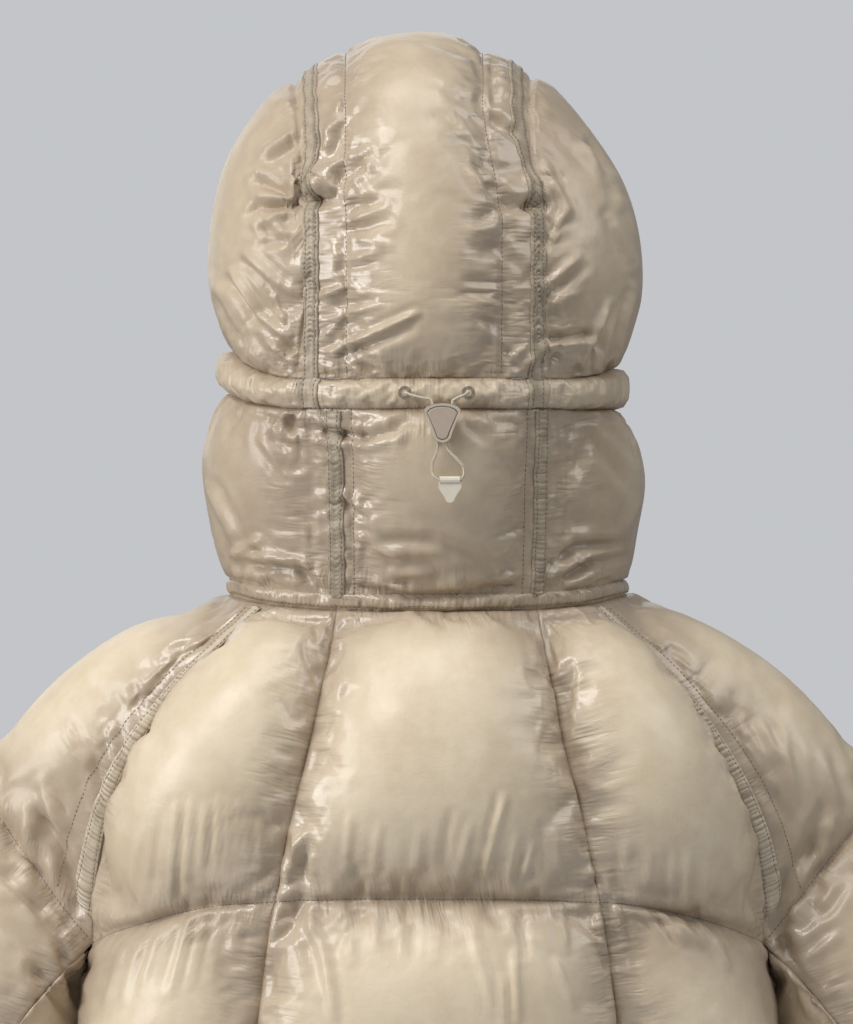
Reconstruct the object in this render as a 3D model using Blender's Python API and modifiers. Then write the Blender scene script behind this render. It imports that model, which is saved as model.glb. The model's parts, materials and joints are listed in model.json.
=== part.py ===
"""Hooded down jacket, worn, with its hood up.

Padded pieces are pillows: an outer and an inner skin over a seam-level surface, closed round the rim.
The front faces -Y, the wearer's left is +X, +Z is up, and the origin is the middle of the neck seam.
All sizes here are in millimetres. MM turns them into metres when a mesh is made.
"""

import math

import bmesh
import bpy
import numpy as np
from mathutils import Matrix, Vector

MM = 0.001
SIDES = (("left", 1), ("right", -1))

# Cloth
WALL = 3.0  # a padded piece where a seam or a quilting line holds it together
SEAM_GAP = 0.22  # each piece stops this far short of its seam line
PIT_GAP = 0.9  # the same along the armhole, where three pieces meet
PIT_DROP = 6.0  # the top corners of the under sleeve hang this far below that meeting
LAY_GAP = 0.45  # what lies on a panel clears it by this much
RAGLAN_TAPE_GAP = 0.7  # over the margins of the sleeves, which round away
HOOD_TAPE_GAP = 1.1  # over the crown seams, whose panels round away on both sides
EDGE_GAP = 0.35  # a wider one, where the piece next door rounds towards the seam
TAPE = 1.4
FULL_POWER = 0.7  # how quickly a baffle fills out from its seams

# How far the down stands out of the seam level, outwards and towards the wearer
PUFF = {
    "back": (36, 9),
    "front": (32, 9),
    "sleeve": (21, 8),
    "under": (11, 6),
    "crown": (15, 8),
    "hood_side": (23, 8),
    "tunnel": (8, 2),
    "lower": (20, 8),
}

# Body
BODY_ROUND = 2.4  # exponent of the body's rings
SIDE_Y = -8.0  # where the sides of the body lie
BACK_SEAM_SHIFT = -6.0  # the worn back sits this far towards the wearer's right
ZIP_EDGE = 17.0  # front edges stop here, beside the zip tapes
UNDERARM = 1.12  # station where both raglan seams meet the side seam
HEM = 4.0
BAFFLE_STEPS = (0.0, 0.12, 0.34, 0.66, 0.88)
BODY_COLUMNS = 6
FRONT_FLAT = 0.07  # the unpadded strip beside the zip, as a share of a front's width
BAND_HEIGHT = 22.0
BAND_START = 0.5  # the bands begin this far past the seam they hang from

# Sleeves
SLEEVE_COLUMNS = 6
UNDER_COLUMNS = 5
CUFF = 5  # station of the cuff seam
RAGLAN_FLAT = 0.1  # the unpadded strip beside the raglan seam, as a share of the sleeve's width
RAGLAN_TAPE = (0.06, 0.4)  # where the ruched tape lies on that strip

# Hood, upper part: a rounded dome
DOME_MIDDLE = np.array([0.0, 5.0, 200.0])
DOME_BACK = np.array([128.0, 130.0, 169.0])
DOME_FRONT = np.array([128.0, 166.0, 169.0])
DOME_ROUND = 2.3
BRIM_TURN = math.radians(140)
FACE_ANGLE = math.radians(130)
CROWN_SEAM = {1: 75.0, -1: -70.5}
CROWN_FLAT = 0.155  # flat margin between crown seam and topstitching, as a share of the crown's width
TAPE_HALF = 6.5
LOW_ROWS = 4  # rows of a side panel's back edge, and as many rows at the foot of the crown
HIGH_ROWS = 8
LOW_RISE_Z = 208.0
SIDE_FLAT = 0.1  # flat margins of a side panel: along its top, down its back and down its front
SIDE_BACK_FLAT = 0.05
SIDE_FACE_FLAT = 0.06

# Hood, drawcord tunnel and lower part
TUNNEL_Z = 138.8
TUNNEL_HALF_BACK = 9.8
TUNNEL_HALF_SIDE = 14.0
TUNNEL_RISE = {1: 17.0, -1: 5.0}
TUNNEL_LEVEL_ANGLE = 0.65
TUNNEL_TOP_BACK = TUNNEL_Z + TUNNEL_HALF_BACK
TUNNEL_RISES = (0.0, 0.2, 0.8, 1.0)
TUNNEL_FLAT = 0.06
TUNNEL_FULL_POWER = 0.3
LOWER_SEAM_TOP = {1: 61.0, -1: -75.0}
NECK_MIDDLE = np.array([0.0, -5.0, 60.0])  # inside the lower hood
CHIN = np.array([ZIP_EDGE, -150.0, 72.0])
CHEEK_SHARE = 0.66  # share of a lower side piece that runs under the tunnel
LOWER_FOOT = 0.09  # height of the flat foot of the lower hood, as a share of its own
LOWER_RISES = (0.0, LOWER_FOOT, 0.36, 0.62, 0.84, 1.0)
LOWER_CENTRE_FLAT = 0.1
LOWER_BACK_FLAT = 0.05
LOWER_FRONT_FLAT = 0.035
COLLAR_GAP = 1.2
COLLAR_STRIP = (0.32, 0.93)  # the strip's edges, as shares of the flat foot's height
BINDING_START = 0.7
BINDING_WIDTH = 11.0
BINDING_HALF = 2.2

# Zip
CHAIN_HALF = 3.1
CHAIN_HALF_THICK = 1.2
ZIP_TAPE_GAP = 0.4  # beside the chain and beside the front's edge
ZIP_TAPE_HALF_THICK = 0.7
SLIDER_Z = 52.0
SLIDER_SIZE = (9.0, 3.4, 13.0)
LUG_SIZE = (3.0, 4.5, 5.0)
LUG_STAND = 6.6
LUG_RISE = 1.0
PULL_SIZE = (7.0, 1.8, 34.0)
PULL_STAND = 10.0  # how far the pull's hinge stands in front of the zip
PULL_DROP = 1.9  # and how far below the slider's middle

# Drawcord
CORD_RADIUS = 0.95
CORD_STEP = 3.6  # spacing of the points along the cord
EYELET_X = {1: 15.0, -1: -26.0}
EYELET_Y = 142.2
EYELET_OUT = 0.9
EYELET_RADIUS = 4.4
EYELET_HOLE = 2.1
EYELET_THICK = 1.6
LOCK_X = -9.2
LOCK_Y = 148.0
LOCK_TOP = 132.0
LOCK_FOOT = 106.5
LOCK_TOP_HALF = 12.0
LOCK_FOOT_HALF = 6.2
LOCK_ARCH = 5.0
LOCK_THICK = 8.0
LOCK_RIM = 1.7
WELL_DEPTH = 1.8
BUTTON_GAP = 0.5
BUTTON_THICK = 1.6
BUTTON_SINK = 1.15
CHANNEL_TOP = 6.6
CHANNEL_FOOT = 3.2
CHANNEL_CLEAR = 0.5
CHANNEL_CUT = 60.0  # length of the cutters, well past the solids
TAB_X = -14.0
TAB_Y = 147.5
TAB_Z = 82.6
TAB_HALF = 6.6
TAB_RADIUS = 2.5
BORE_CLEAR = 0.4
TONGUE_THICK = 2.0
TONGUE_LIP = 0.8  # the tongue's shoulders stand out past the tube by this much
TONGUE_TOP = -1.2
TONGUE_SHOULDER = -5.0
TIP_Z = -11.5
TIP_RADIUS = 3.2


# Columns of a lower side piece, closer together where it turns round the chin
LOWER_SIDE_COLUMNS = (
    [0.0, LOWER_BACK_FLAT]
    + list(np.linspace(0, CHEEK_SHARE, 7)[1:])
    + list(np.linspace(CHEEK_SHARE, 1, 5)[1:-1])
    + [1 - LOWER_FRONT_FLAT, 1.0]
)


class Table:
    """Rows of named sizes against a station, read smoothly in between."""

    def __init__(self, columns, rows):
        self.columns = columns.split()
        self.rows = np.array(rows, dtype=float)
        self.stations = self.rows[:, 0]
        self.slopes = np.gradient(self.rows, self.stations, axis=0)

    def at(self, station):
        low = int(np.clip(np.searchsorted(self.stations, station, "right") - 1, 0, len(self.rows) - 2))
        span = self.stations[low + 1] - self.stations[low]
        t = (station - self.stations[low]) / span
        first = (1 + 2 * t) * (1 - t) ** 2 * self.rows[low] + t * (1 - t) ** 2 * span * self.slopes[low]
        second = t * t * (3 - 2 * t) * self.rows[low + 1] + t * t * (t - 1) * span * self.slopes[low + 1]
        return dict(zip(self.columns, first + second))


# Station 0 is the neck seam, 1, 2 and 3 are the quilting lines and 4 is the hem.
BODY = Table(
    "station z_back z_side z_front half_width back_y front_y raglan_back raglan_front",
    (
        (0.00, -3, 6, -60, 132, 95, -112, 105, 100),
        (0.25, -45, -40, -88, 170, 118, -126, 150, 142),
        (0.50, -92, -88, -120, 202, 131, -138, 183, 174),
        (0.75, -140, -146, -155, 224, 137, -147, 210, 201),
        (0.88, -165, -188, -175, 229, 138, -150, 219, 213),
        (1.00, -188, -228, -195, 230, 137, -151, 222, 219),
        (1.12, -206, -252, -214, 230, 137, -152, 230, 230),
        (2.00, -345, -372, -345, 228, 138, -152, 228, 228),
        (3.00, -505, -520, -505, 232, 140, -150, 232, 232),
        (4.00, -672, -672, -672, 234, 142, -148, 234, 234),
    ),
)

# Half the width between the princess seams
PRINCESS = Table(
    "station half",
    ((0.0, 65), (0.25, 73), (0.5, 83), (0.75, 95), (1.0, 105), (1.5, 116), (2.0, 118), (4.0, 118)),
)

# The line down the outside of the sleeve
OUTER_ARM = Table(
    "station x y z",
    (
        (0.00, 132, -8, 6),
        (0.34, 186, -10, -38),
        (0.66, 240, -11, -75),
        (1.00, 303, -11, -124),
        (2.00, 394, -10, -285),
        (3.00, 404, -22, -430),
        (4.00, 398, -48, -555),
        (5.00, 366, -64, -662),
    ),
)

ARM_COLUMNS = "station back_x back_y back_z front_x front_y front_z inner_x inner_y inner_z"
ARM_ROWS = (
    (1.34, 254, 57, -256, 251, -75, -260, 248, -8, -288),
    (2.0, 304, 64, -338, 300, -82, -342, 256, -8, -366),
    (3.0, 322, 56, -458, 314, -94, -466, 266, -20, -482),
    (4.0, 326, 30, -568, 314, -112, -580, 268, -46, -592),
    (5.0, 320, -20, -660, 316, -110, -672, 274, -68, -674),
)


def unit(vector):
    vector = np.asarray(vector, dtype=float)
    return vector / np.linalg.norm(vector)


def lerp(first, second, share):
    return first + (second - first) * share


def smooth(share):
    share = min(max(share, 0.0), 1.0)
    return share * share * (3 - 2 * share)


def signed_power(value, power):
    return math.copysign(abs(value) ** power, value)


def steps(count, start=0.0, end=0.0):
    """Shares from 0 to 1, with one flat cell of its own at each margin that is given."""
    shares = list(np.linspace(start, 1 - end, count + 1))
    return ([0.0] if start else []) + shares + ([1.0] if end else [])


def fill(share, start=0.0, end=0.0):
    """How full a piece is at a share of its way across: none at its margins, 1 in the middle."""
    inside = (share - start) / (1 - start - end)
    if inside <= 1e-6 or inside >= 1 - 1e-6:
        return 0.0
    return math.sin(math.pi * inside) ** FULL_POWER


# ---------------------------------------------------------------- body surface


def body_point(angle, station):
    """Seam level of the body. The angle is 0 at the back and a half turn in front."""
    row = BODY.at(station)
    back = math.cos(angle) > 0
    reach = row["back_y"] if back else row["front_y"]
    level = row["z_back"] if back else row["z_front"]
    across = signed_power(math.sin(angle), 2 / BODY_ROUND)
    along = abs(math.cos(angle)) ** (2 / BODY_ROUND)
    dip = abs(math.sin(angle)) ** 3
    return np.array(
        [
            row["half_width"] * across,
            SIDE_Y + (reach - SIDE_Y) * along,
            level + (row["z_side"] - level) * dip,
        ]
    )


def body_angle(x, station, front=False):
    ratio = min(abs(x) / BODY.at(station)["half_width"], 1.0)
    angle = math.asin(ratio ** (BODY_ROUND / 2))
    angle = math.pi - angle if front else angle
    return math.copysign(angle, x)


def princess_angle(station, side):
    return body_angle(BACK_SEAM_SHIFT + side * PRINCESS.at(station)["half"], station)


def raglan_angle(station, front=False):
    """Where the armhole seam crosses a station, on the wearer's left."""
    if station >= UNDERARM:
        return math.pi / 2
    column = "raglan_front" if front else "raglan_back"
    return body_angle(BODY.at(station)[column], station, front)


def raglan_point(station, front=False):
    return body_point(raglan_angle(station, front), station)


# ---------------------------------------------------------------- sleeve surface (wearer's left)


def arm_table():
    row = (1.0, *raglan_point(1.0), *raglan_point(1.0, True), *raglan_point(UNDERARM))
    return Table(ARM_COLUMNS, (row,) + ARM_ROWS)


ARM = arm_table()


def arm_points(station):
    """The back seam, front seam and inner line of the sleeve at a station."""
    if station < 1:
        return raglan_point(max(station, 0.0)), raglan_point(max(station, 0.0), True), None
    row = ARM.at(station)
    return tuple(np.array([row[f"{name}_{axis}"] for axis in "xyz"]) for name in ("back", "front", "inner"))


def half_ring(back, front, far, share):
    middle = (back + front) / 2
    turn = math.pi * share
    return middle + (back - middle) * math.cos(turn) + (far - middle) * math.sin(turn)


def sleeve_outer_point(share, station):
    back, front, _ = arm_points(station)
    row = OUTER_ARM.at(station)
    point = half_ring(back, front, np.array([row["x"], row["y"], row["z"]]), share)
    near_neck = 1 - smooth(station / BAFFLE_STEPS[2])
    if near_neck > 0:
        back, front, _ = arm_points(0.0)
        row = OUTER_ARM.at(0.0)
        drawn = half_ring(back, front, np.array([row["x"], row["y"], row["z"]]), share)
        neck = body_point(lerp(raglan_angle(0.0), raglan_angle(0.0, True), share), 0.0)
        point = point + (neck - drawn) * near_neck
    return point


def pit_direction(share):
    """Outward from the body along the bottom of the armhole, from the back seam to the front seam."""
    low = 1 - abs(2 * share - 1)
    angle = lerp(raglan_angle(1.0, share > 0.5), math.pi / 2, low)
    return body_normal(angle, lerp(1.0, UNDERARM, low))


def sleeve_under_point(share, station):
    """The under sleeve hangs beside the body, a wall's thickness out from the bottom of the armhole."""
    back, front, inner = arm_points(max(station, 1.0))
    point = half_ring(back, front, inner, share)
    near_pit = 1 - smooth((station - 1) / 0.34)
    if near_pit > 0:
        back, front, inner = arm_points(1.0)
        straight = lerp(back, inner, 2 * share) if share < 0.5 else lerp(inner, front, 2 * share - 1)
        point = point + (straight - half_ring(back, front, inner, share)) * near_pit
    clear = 1.0 if station <= 1 else math.sin(math.pi * share) * (1 - smooth((station - 1.3) / 0.6))
    point = point + pit_direction(share) * (WALL + 1.0) * clear
    if station <= 1:
        point = point - np.array([0.0, 0.0, PIT_DROP]) * abs(math.cos(math.pi * share)) ** 3
    return point


# ---------------------------------------------------------------- hood surface


def on_dome(point):
    """The point of the dome straight out from its middle through this one."""
    out = point - DOME_MIDDLE
    size = DOME_BACK if out[1] > 0 else DOME_FRONT
    return DOME_MIDDLE + out / (np.abs(out / size) ** DOME_ROUND).sum() ** (1 / DOME_ROUND)


def dome_normal(point):
    out = point - DOME_MIDDLE
    size = DOME_BACK if out[1] > 0 else DOME_FRONT
    return unit(np.sign(out) * np.abs(out / size) ** (DOME_ROUND - 1) / size)


def shrink(offset):
    """How much smaller a section of the dome is, this share of the way out from its middle."""
    return (1 - abs(offset) ** DOME_ROUND) ** (1 / DOME_ROUND)


def dome_level(angle, z):
    """A point on the level section of the dome at height z."""
    size = DOME_BACK if math.cos(angle) > 0 else DOME_FRONT
    scale = shrink((z - DOME_MIDDLE[2]) / size[2])
    x = size[0] * scale * signed_power(math.sin(angle), 2 / DOME_ROUND)
    y = DOME_MIDDLE[1] + size[1] * scale * signed_power(math.cos(angle), 2 / DOME_ROUND)
    return np.array([x, y, z])


def level_angle(x, z):
    size = DOME_BACK[0] * shrink((z - DOME_MIDDLE[2]) / DOME_BACK[2])
    return math.copysign(math.asin((abs(x) / size) ** (DOME_ROUND / 2)), x)


def dome_arch(x, turn):
    """A point on the upright section of the dome at x. The turn is 0 backwards and grows upwards."""
    size = DOME_BACK if math.cos(turn) > 0 else DOME_FRONT
    scale = shrink(x / size[0])
    scale /= (abs(math.cos(turn)) ** DOME_ROUND + abs(math.sin(turn)) ** DOME_ROUND) ** (1 / DOME_ROUND)
    y = DOME_MIDDLE[1] + size[1] * scale * math.cos(turn)
    z = DOME_MIDDLE[2] + size[2] * scale * math.sin(turn)
    return np.array([x, y, z])


def arch_turn(x, z):
    """The turn at which the upright section at x reaches height z, at the back."""
    height = (z - DOME_MIDDLE[2]) / (DOME_BACK[2] * shrink(x / DOME_BACK[0]))
    return math.atan2(height, shrink(height))


def tunnel_edges(angle):
    rise = smooth((abs(angle) - TUNNEL_LEVEL_ANGLE) / (math.pi / 2 - TUNNEL_LEVEL_ANGLE))
    middle = TUNNEL_Z + rise * TUNNEL_RISE[1 if angle > 0 else -1]
    half = lerp(TUNNEL_HALF_BACK, TUNNEL_HALF_SIDE, rise)
    return middle - half, middle + half


def tunnel_point(angle, share):
    foot, top = tunnel_edges(angle)
    point = dome_level(angle, top)
    return np.array([point[0], point[1], lerp(foot, top, share)])


def arch_turns(x):
    low = np.linspace(arch_turn(x, TUNNEL_TOP_BACK), arch_turn(x, LOW_RISE_Z), LOW_ROWS + 1)
    high = np.linspace(low[-1], BRIM_TURN, HIGH_ROWS + 1)
    return list(low) + list(high[1:])


def crown_point(share, row):
    """Row counts from the tunnel to the brim, and share runs from the right seam to the left."""
    x = lerp(CROWN_SEAM[-1], CROWN_SEAM[1], share)
    turns = arch_turns(x)
    return dome_arch(x, np.interp(row, range(len(turns)), turns))


def hood_side_surface(side):
    seam = CROWN_SEAM[side]
    turns = arch_turns(seam)
    start = level_angle(seam, TUNNEL_TOP_BACK)

    def point(share, rise):
        angle = lerp(start, side * FACE_ANGLE, share)
        foot = dome_level(angle, tunnel_edges(angle)[1])
        row = LOW_ROWS + HIGH_ROWS * share
        top = dome_arch(seam, np.interp(row, range(len(turns)), turns))
        if share == 0:
            return dome_arch(seam, np.interp(LOW_ROWS * rise, range(len(turns)), turns))
        return on_dome(lerp(foot, top, rise))

    return point


def lower_centre_point(share, rise):
    foot = body_point(lerp(princess_angle(0, -1), princess_angle(0, 1), share), 0.0)
    right = level_angle(LOWER_SEAM_TOP[-1], TUNNEL_TOP_BACK)
    left = level_angle(LOWER_SEAM_TOP[1], TUNNEL_TOP_BACK)
    return lerp(foot, tunnel_point(lerp(right, left, share), 0), rise)


def zip_angle(station):
    return body_angle(ZIP_EDGE, station, True)


def lower_side_surface(side):
    start = level_angle(LOWER_SEAM_TOP[side], TUNNEL_TOP_BACK)
    foot_start = princess_angle(0, side)

    def point(share, rise):
        foot = body_point(lerp(foot_start, side * zip_angle(0.0), share), 0.0)
        if share <= CHEEK_SHARE:
            top = tunnel_point(lerp(start, side * FACE_ANGLE, share / CHEEK_SHARE), 0)
        else:
            cheek = tunnel_point(side * FACE_ANGLE, 0)
            turn = math.pi / 2 * (share - CHEEK_SHARE) / (1 - CHEEK_SHARE)
            top = np.array(
                [
                    lerp(side * CHIN[0], cheek[0], math.cos(turn)),
                    lerp(cheek[1], CHIN[1], math.sin(turn)),
                    lerp(cheek[2], CHIN[2], math.sin(turn)),
                ]
            )
        return lerp(foot, top, rise)

    return point


# ---------------------------------------------------------------- seam directions


def normal_at(surface, share, row, inside):
    """The outward direction of a surface, worked out from points close by."""
    near = 1e-3
    across = surface(share + near, row) - surface(share - near, row)
    along = surface(share, row + near) - surface(share, row - near)
    normal = unit(np.cross(across, along))
    return normal if normal @ (surface(share, row) - inside) > 0 else -normal


def body_normal(angle, station):
    level = np.array([0.0, SIDE_Y, body_point(angle, station)[2] - 60])
    return normal_at(body_point, angle, station, level)


def neck_direction(angle):
    """Both sides of the neck seam end on this slant."""
    out = body_point(angle, 0.0) - (0.0, SIDE_Y, 0.0)
    return unit(unit([out[0], out[1], 0.0]) + (0, 0, 0.75))


def sleeve_middle(station):
    back, front, _ = arm_points(station)
    row = OUTER_ARM.at(station)
    return (back + front) / 4 + np.array([row["x"], row["y"], row["z"]]) / 2


def raglan_direction(station, front):
    """The slant shared by a body panel and a sleeve along the armhole."""
    share = 1 if front else 0
    from_sleeve = normal_at(sleeve_outer_point, share, station, sleeve_middle(station))
    return unit(body_normal(raglan_angle(station, front), station) + from_sleeve)


def arm_direction(station, front):
    """The slant shared by the two sleeve pieces."""
    if station <= 1:
        return raglan_direction(1.0, front)
    back, front_point, _ = arm_points(station)
    return unit((front_point - back) * (1 if front else -1))


def level_direction(angle):
    point = dome_level(angle, TUNNEL_TOP_BACK)
    normal = dome_normal(point)
    return unit([normal[0], normal[1], 0.0])


# ---------------------------------------------------------------- solids


class Cloth:
    """Seam-level points of a piece in rows and columns, with the outward direction and fullness at each."""

    def __init__(self, surface, columns, rows, inside, fullness, normal=None):
        self.points = np.array([[surface(u, v) for u in columns] for v in rows])
        if normal is None:
            def normal(u, v):
                return normal_at(surface, u, v, inside(v) if callable(inside) else inside)
        self.normals = np.array([[normal(u, v) for u in columns] for v in rows])
        self.full = np.array([[fullness(u, v) for u in columns] for v in rows])

    def hem_in(self, left=SEAM_GAP, right=SEAM_GAP, foot=SEAM_GAP, top=SEAM_GAP):
        """Draws the border in from the seam lines. Foot is the first row and left the first column."""
        old = self.points.copy()
        for edge, nextdoor, gap in (
            (np.s_[:, 0], np.s_[:, 1], left),
            (np.s_[:, -1], np.s_[:, -2], right),
            (np.s_[0], np.s_[1], foot),
            (np.s_[-1], np.s_[-2], top),
        ):
            inward = old[nextdoor] - old[edge]
            inward /= np.linalg.norm(inward, axis=-1, keepdims=True)
            self.points[edge] += inward * gap
        return self

    def mirrored(self):
        """The same piece on the other side of the wearer."""
        other = object.__new__(Cloth)
        flip = np.array([-1.0, 1.0, 1.0])
        other.points = self.points * flip
        other.normals = self.normals * flip
        other.full = self.full
        return other


def add_object(name, mesh, material):
    body = bpy.data.objects.new(name, mesh)
    body.data.materials.append(material)
    JACKET.objects.link(body)
    return body


def skins(name, points, normals, outer, inner, material, ring=False):
    """A closed solid from rows and columns of points: each moved out and in, and joined round the rim."""
    rows, columns = points.shape[:2]
    outside = points + normals * np.broadcast_to(outer, (rows, columns))[..., None]
    inside = points - normals * np.broadcast_to(inner, (rows, columns))[..., None]
    bm = bmesh.new()
    layers = [[[bm.verts.new(p * MM) for p in row] for row in layer] for layer in (outside, inside)]
    out, back = layers
    last = columns if ring else columns - 1
    for i in range(rows - 1):
        for j in range(last):
            k = (j + 1) % columns
            bm.faces.new((out[i][j], out[i][k], out[i + 1][k], out[i + 1][j]))
            bm.faces.new((back[i][j], back[i + 1][j], back[i + 1][k], back[i][k]))
    for i in (0, rows - 1):
        for j in range(last):
            k = (j + 1) % columns
            bm.faces.new((out[i][j], back[i][j], back[i][k], out[i][k]))
    if not ring:
        for j in (0, columns - 1):
            for i in range(rows - 1):
                bm.faces.new((out[i][j], out[i + 1][j], back[i + 1][j], back[i][j]))
    bmesh.ops.triangulate(bm, faces=bm.faces)
    bmesh.ops.recalc_face_normals(bm, faces=bm.faces)
    mesh = bpy.data.meshes.new(name)
    bm.to_mesh(mesh)
    bm.free()
    mesh.shade_smooth()
    mesh.set_sharp_from_angle(angle=math.radians(40))
    return add_object(name, mesh, material)


def pillow(name, cloth, kind, material):
    outer, inner = PUFF[kind]
    return skins(
        name,
        cloth.points,
        cloth.normals,
        WALL / 2 + outer * cloth.full,
        WALL / 2 + inner * cloth.full,
        material,
    )


def laid(name, points, normals, material, thickness=TAPE, lift=WALL / 2 + LAY_GAP):
    """A flat strip lying on panels, from their own points moved out."""
    return skins(name, points, normals, lift + thickness, -lift, material)


def make_material(name, colour, roughness, metallic=0.0):
    material = bpy.data.materials.new(name)
    material.use_nodes = True
    shader = material.node_tree.nodes["Principled BSDF"]
    shader.inputs["Base Color"].default_value = (*colour, 1)
    shader.inputs["Roughness"].default_value = roughness
    shader.inputs["Metallic"].default_value = metallic
    return material


# ---------------------------------------------------------------- pieces


def quilt_rows(first, last):
    """Stations at the quilting lines and between them."""
    stations = [line + step for line in range(first, last) for step in BAFFLE_STEPS]
    return stations + [float(last)]


def between_quilts(station):
    return fill(station - math.floor(station + 1e-9))


def body_cloth(edge_a, edge_b, end=0.0):
    """A body panel between two seams, each given as an angle for each station."""
    rows = quilt_rows(0, int(HEM))
    shares = steps(BODY_COLUMNS, 0.0, end)

    def surface(share, station):
        return body_point(lerp(edge_a(station), edge_b(station), share), station)

    def normal(share, station):
        angle = lerp(edge_a(station), edge_b(station), share)
        return neck_direction(angle) if station == 0 else body_normal(angle, station)

    def fullness(share, station):
        angle = abs(lerp(edge_a(station), edge_b(station), share))
        sideways = 1 - abs(angle / (math.pi / 2) - 1)
        under_arm = 1 - smooth((station - 1.1) / 0.8) if station > 1 else 0.0
        pressed = smooth((sideways - lerp(0.6, 0.4, under_arm)) / 0.4) * lerp(0.75, 0.97, under_arm)
        return fill(share, 0.0, end) * between_quilts(station) * (1 - pressed)

    return Cloth(surface, shares, rows, None, fullness, normal)


def slant_armhole(cloth, column, front):
    """Turns a body panel's raglan edge to the slant that it shares with the sleeve."""
    for row, station in enumerate(quilt_rows(0, int(HEM))):
        if 0 < station <= 1:
            cloth.normals[row, column] = raglan_direction(station, front)


def make_body(shell):
    centre = body_cloth(lambda v: princess_angle(v, -1), lambda v: princess_angle(v, 1))
    pillow("back_centre", centre.hem_in(), "back", shell)
    made = {"back_centre": centre}
    for name, side in SIDES:
        back = body_cloth(lambda v: princess_angle(v, side), lambda v: side * raglan_angle(v))
        front = body_cloth(
            lambda v: side * raglan_angle(v, True),
            lambda v: side * zip_angle(v),
            FRONT_FLAT,
        )
        if side == 1:
            slant_armhole(back, -1, False)
            slant_armhole(front, 0, True)
            left_front = front
        else:
            back.normals[:, -1] = made["back_side_left"].normals[:, -1] * (-1, 1, 1)
            front.normals[:, 0] = left_front.normals[:, 0] * (-1, 1, 1)
        made[f"back_side_{name}"] = back
        made[f"front_{name}"] = front
        pillow(f"back_side_{name}", back.hem_in(right=PIT_GAP), "back", shell)
        pillow(f"front_{name}", front.hem_in(left=PIT_GAP), "front", shell)
    return made


def sleeve_fullness(share, station):
    margin = RAGLAN_FLAT if station < 1 else 0.0
    return fill(share, margin, margin) * between_quilts(station)


def make_sleeves(shell, trim):
    made = {}
    outer_shares = steps(SLEEVE_COLUMNS, RAGLAN_FLAT, RAGLAN_FLAT)
    outer_rows = quilt_rows(0, CUFF)
    outer = Cloth(sleeve_outer_point, outer_shares, outer_rows, sleeve_middle, sleeve_fullness)
    under_shares = steps(UNDER_COLUMNS)
    under_rows = quilt_rows(1, CUFF)
    under = Cloth(
        sleeve_under_point,
        under_shares,
        under_rows,
        sleeve_middle,
        lambda share, station: fill(share) * between_quilts(station),
    )
    for column, share in enumerate(outer_shares):
        outer.normals[0, column] = neck_direction(lerp(raglan_angle(0), raglan_angle(0, True), share))
    for column, front in ((0, False), (-1, True)):
        for row, station in enumerate(outer_rows):
            if 0 < station <= 1:
                outer.normals[row, column] = raglan_direction(station, front)
            elif station > 1:
                outer.normals[row, column] = arm_direction(station, front)
        for row, station in enumerate(under_rows):
            under.normals[row, column] = arm_direction(station, front)
    for column, share in enumerate(under_shares):
        under.normals[0, column] = -pit_direction(share)
    for name, side in SIDES:
        pieces = (outer, under) if side == 1 else (outer.mirrored(), under.mirrored())
        made[f"sleeve_outer_{name}"], made[f"sleeve_under_{name}"] = pieces
        pillow(f"sleeve_outer_{name}", pieces[0].hem_in(left=EDGE_GAP, right=EDGE_GAP), "sleeve", shell)
        pillow(f"sleeve_under_{name}", pieces[1].hem_in(), "under", shell)
        make_raglan_tape(name, pieces[0], trim)
    return made


def make_raglan_tape(name, sleeve, trim):
    rows = len(BAFFLE_STEPS) + 1
    edge, inner = sleeve.points[:rows, 0], sleeve.points[:rows, 1]
    points = np.stack([lerp(edge, inner, share) for share in RAGLAN_TAPE], axis=1)
    normals = np.stack(
        [lerp(sleeve.normals[:rows, 0], sleeve.normals[:rows, 1], share) for share in RAGLAN_TAPE], axis=1
    )
    laid(f"raglan_tape_{name}", points, normals, trim, lift=WALL / 2 + RAGLAN_TAPE_GAP)


def upright_rim(cloth, edge):
    """Turns the directions along a crown seam into its upright plane, so both rims there lie in it."""
    flat = cloth.normals[edge] * (0, 1, 1)
    cloth.normals[edge] = flat / np.linalg.norm(flat, axis=-1, keepdims=True)


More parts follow.
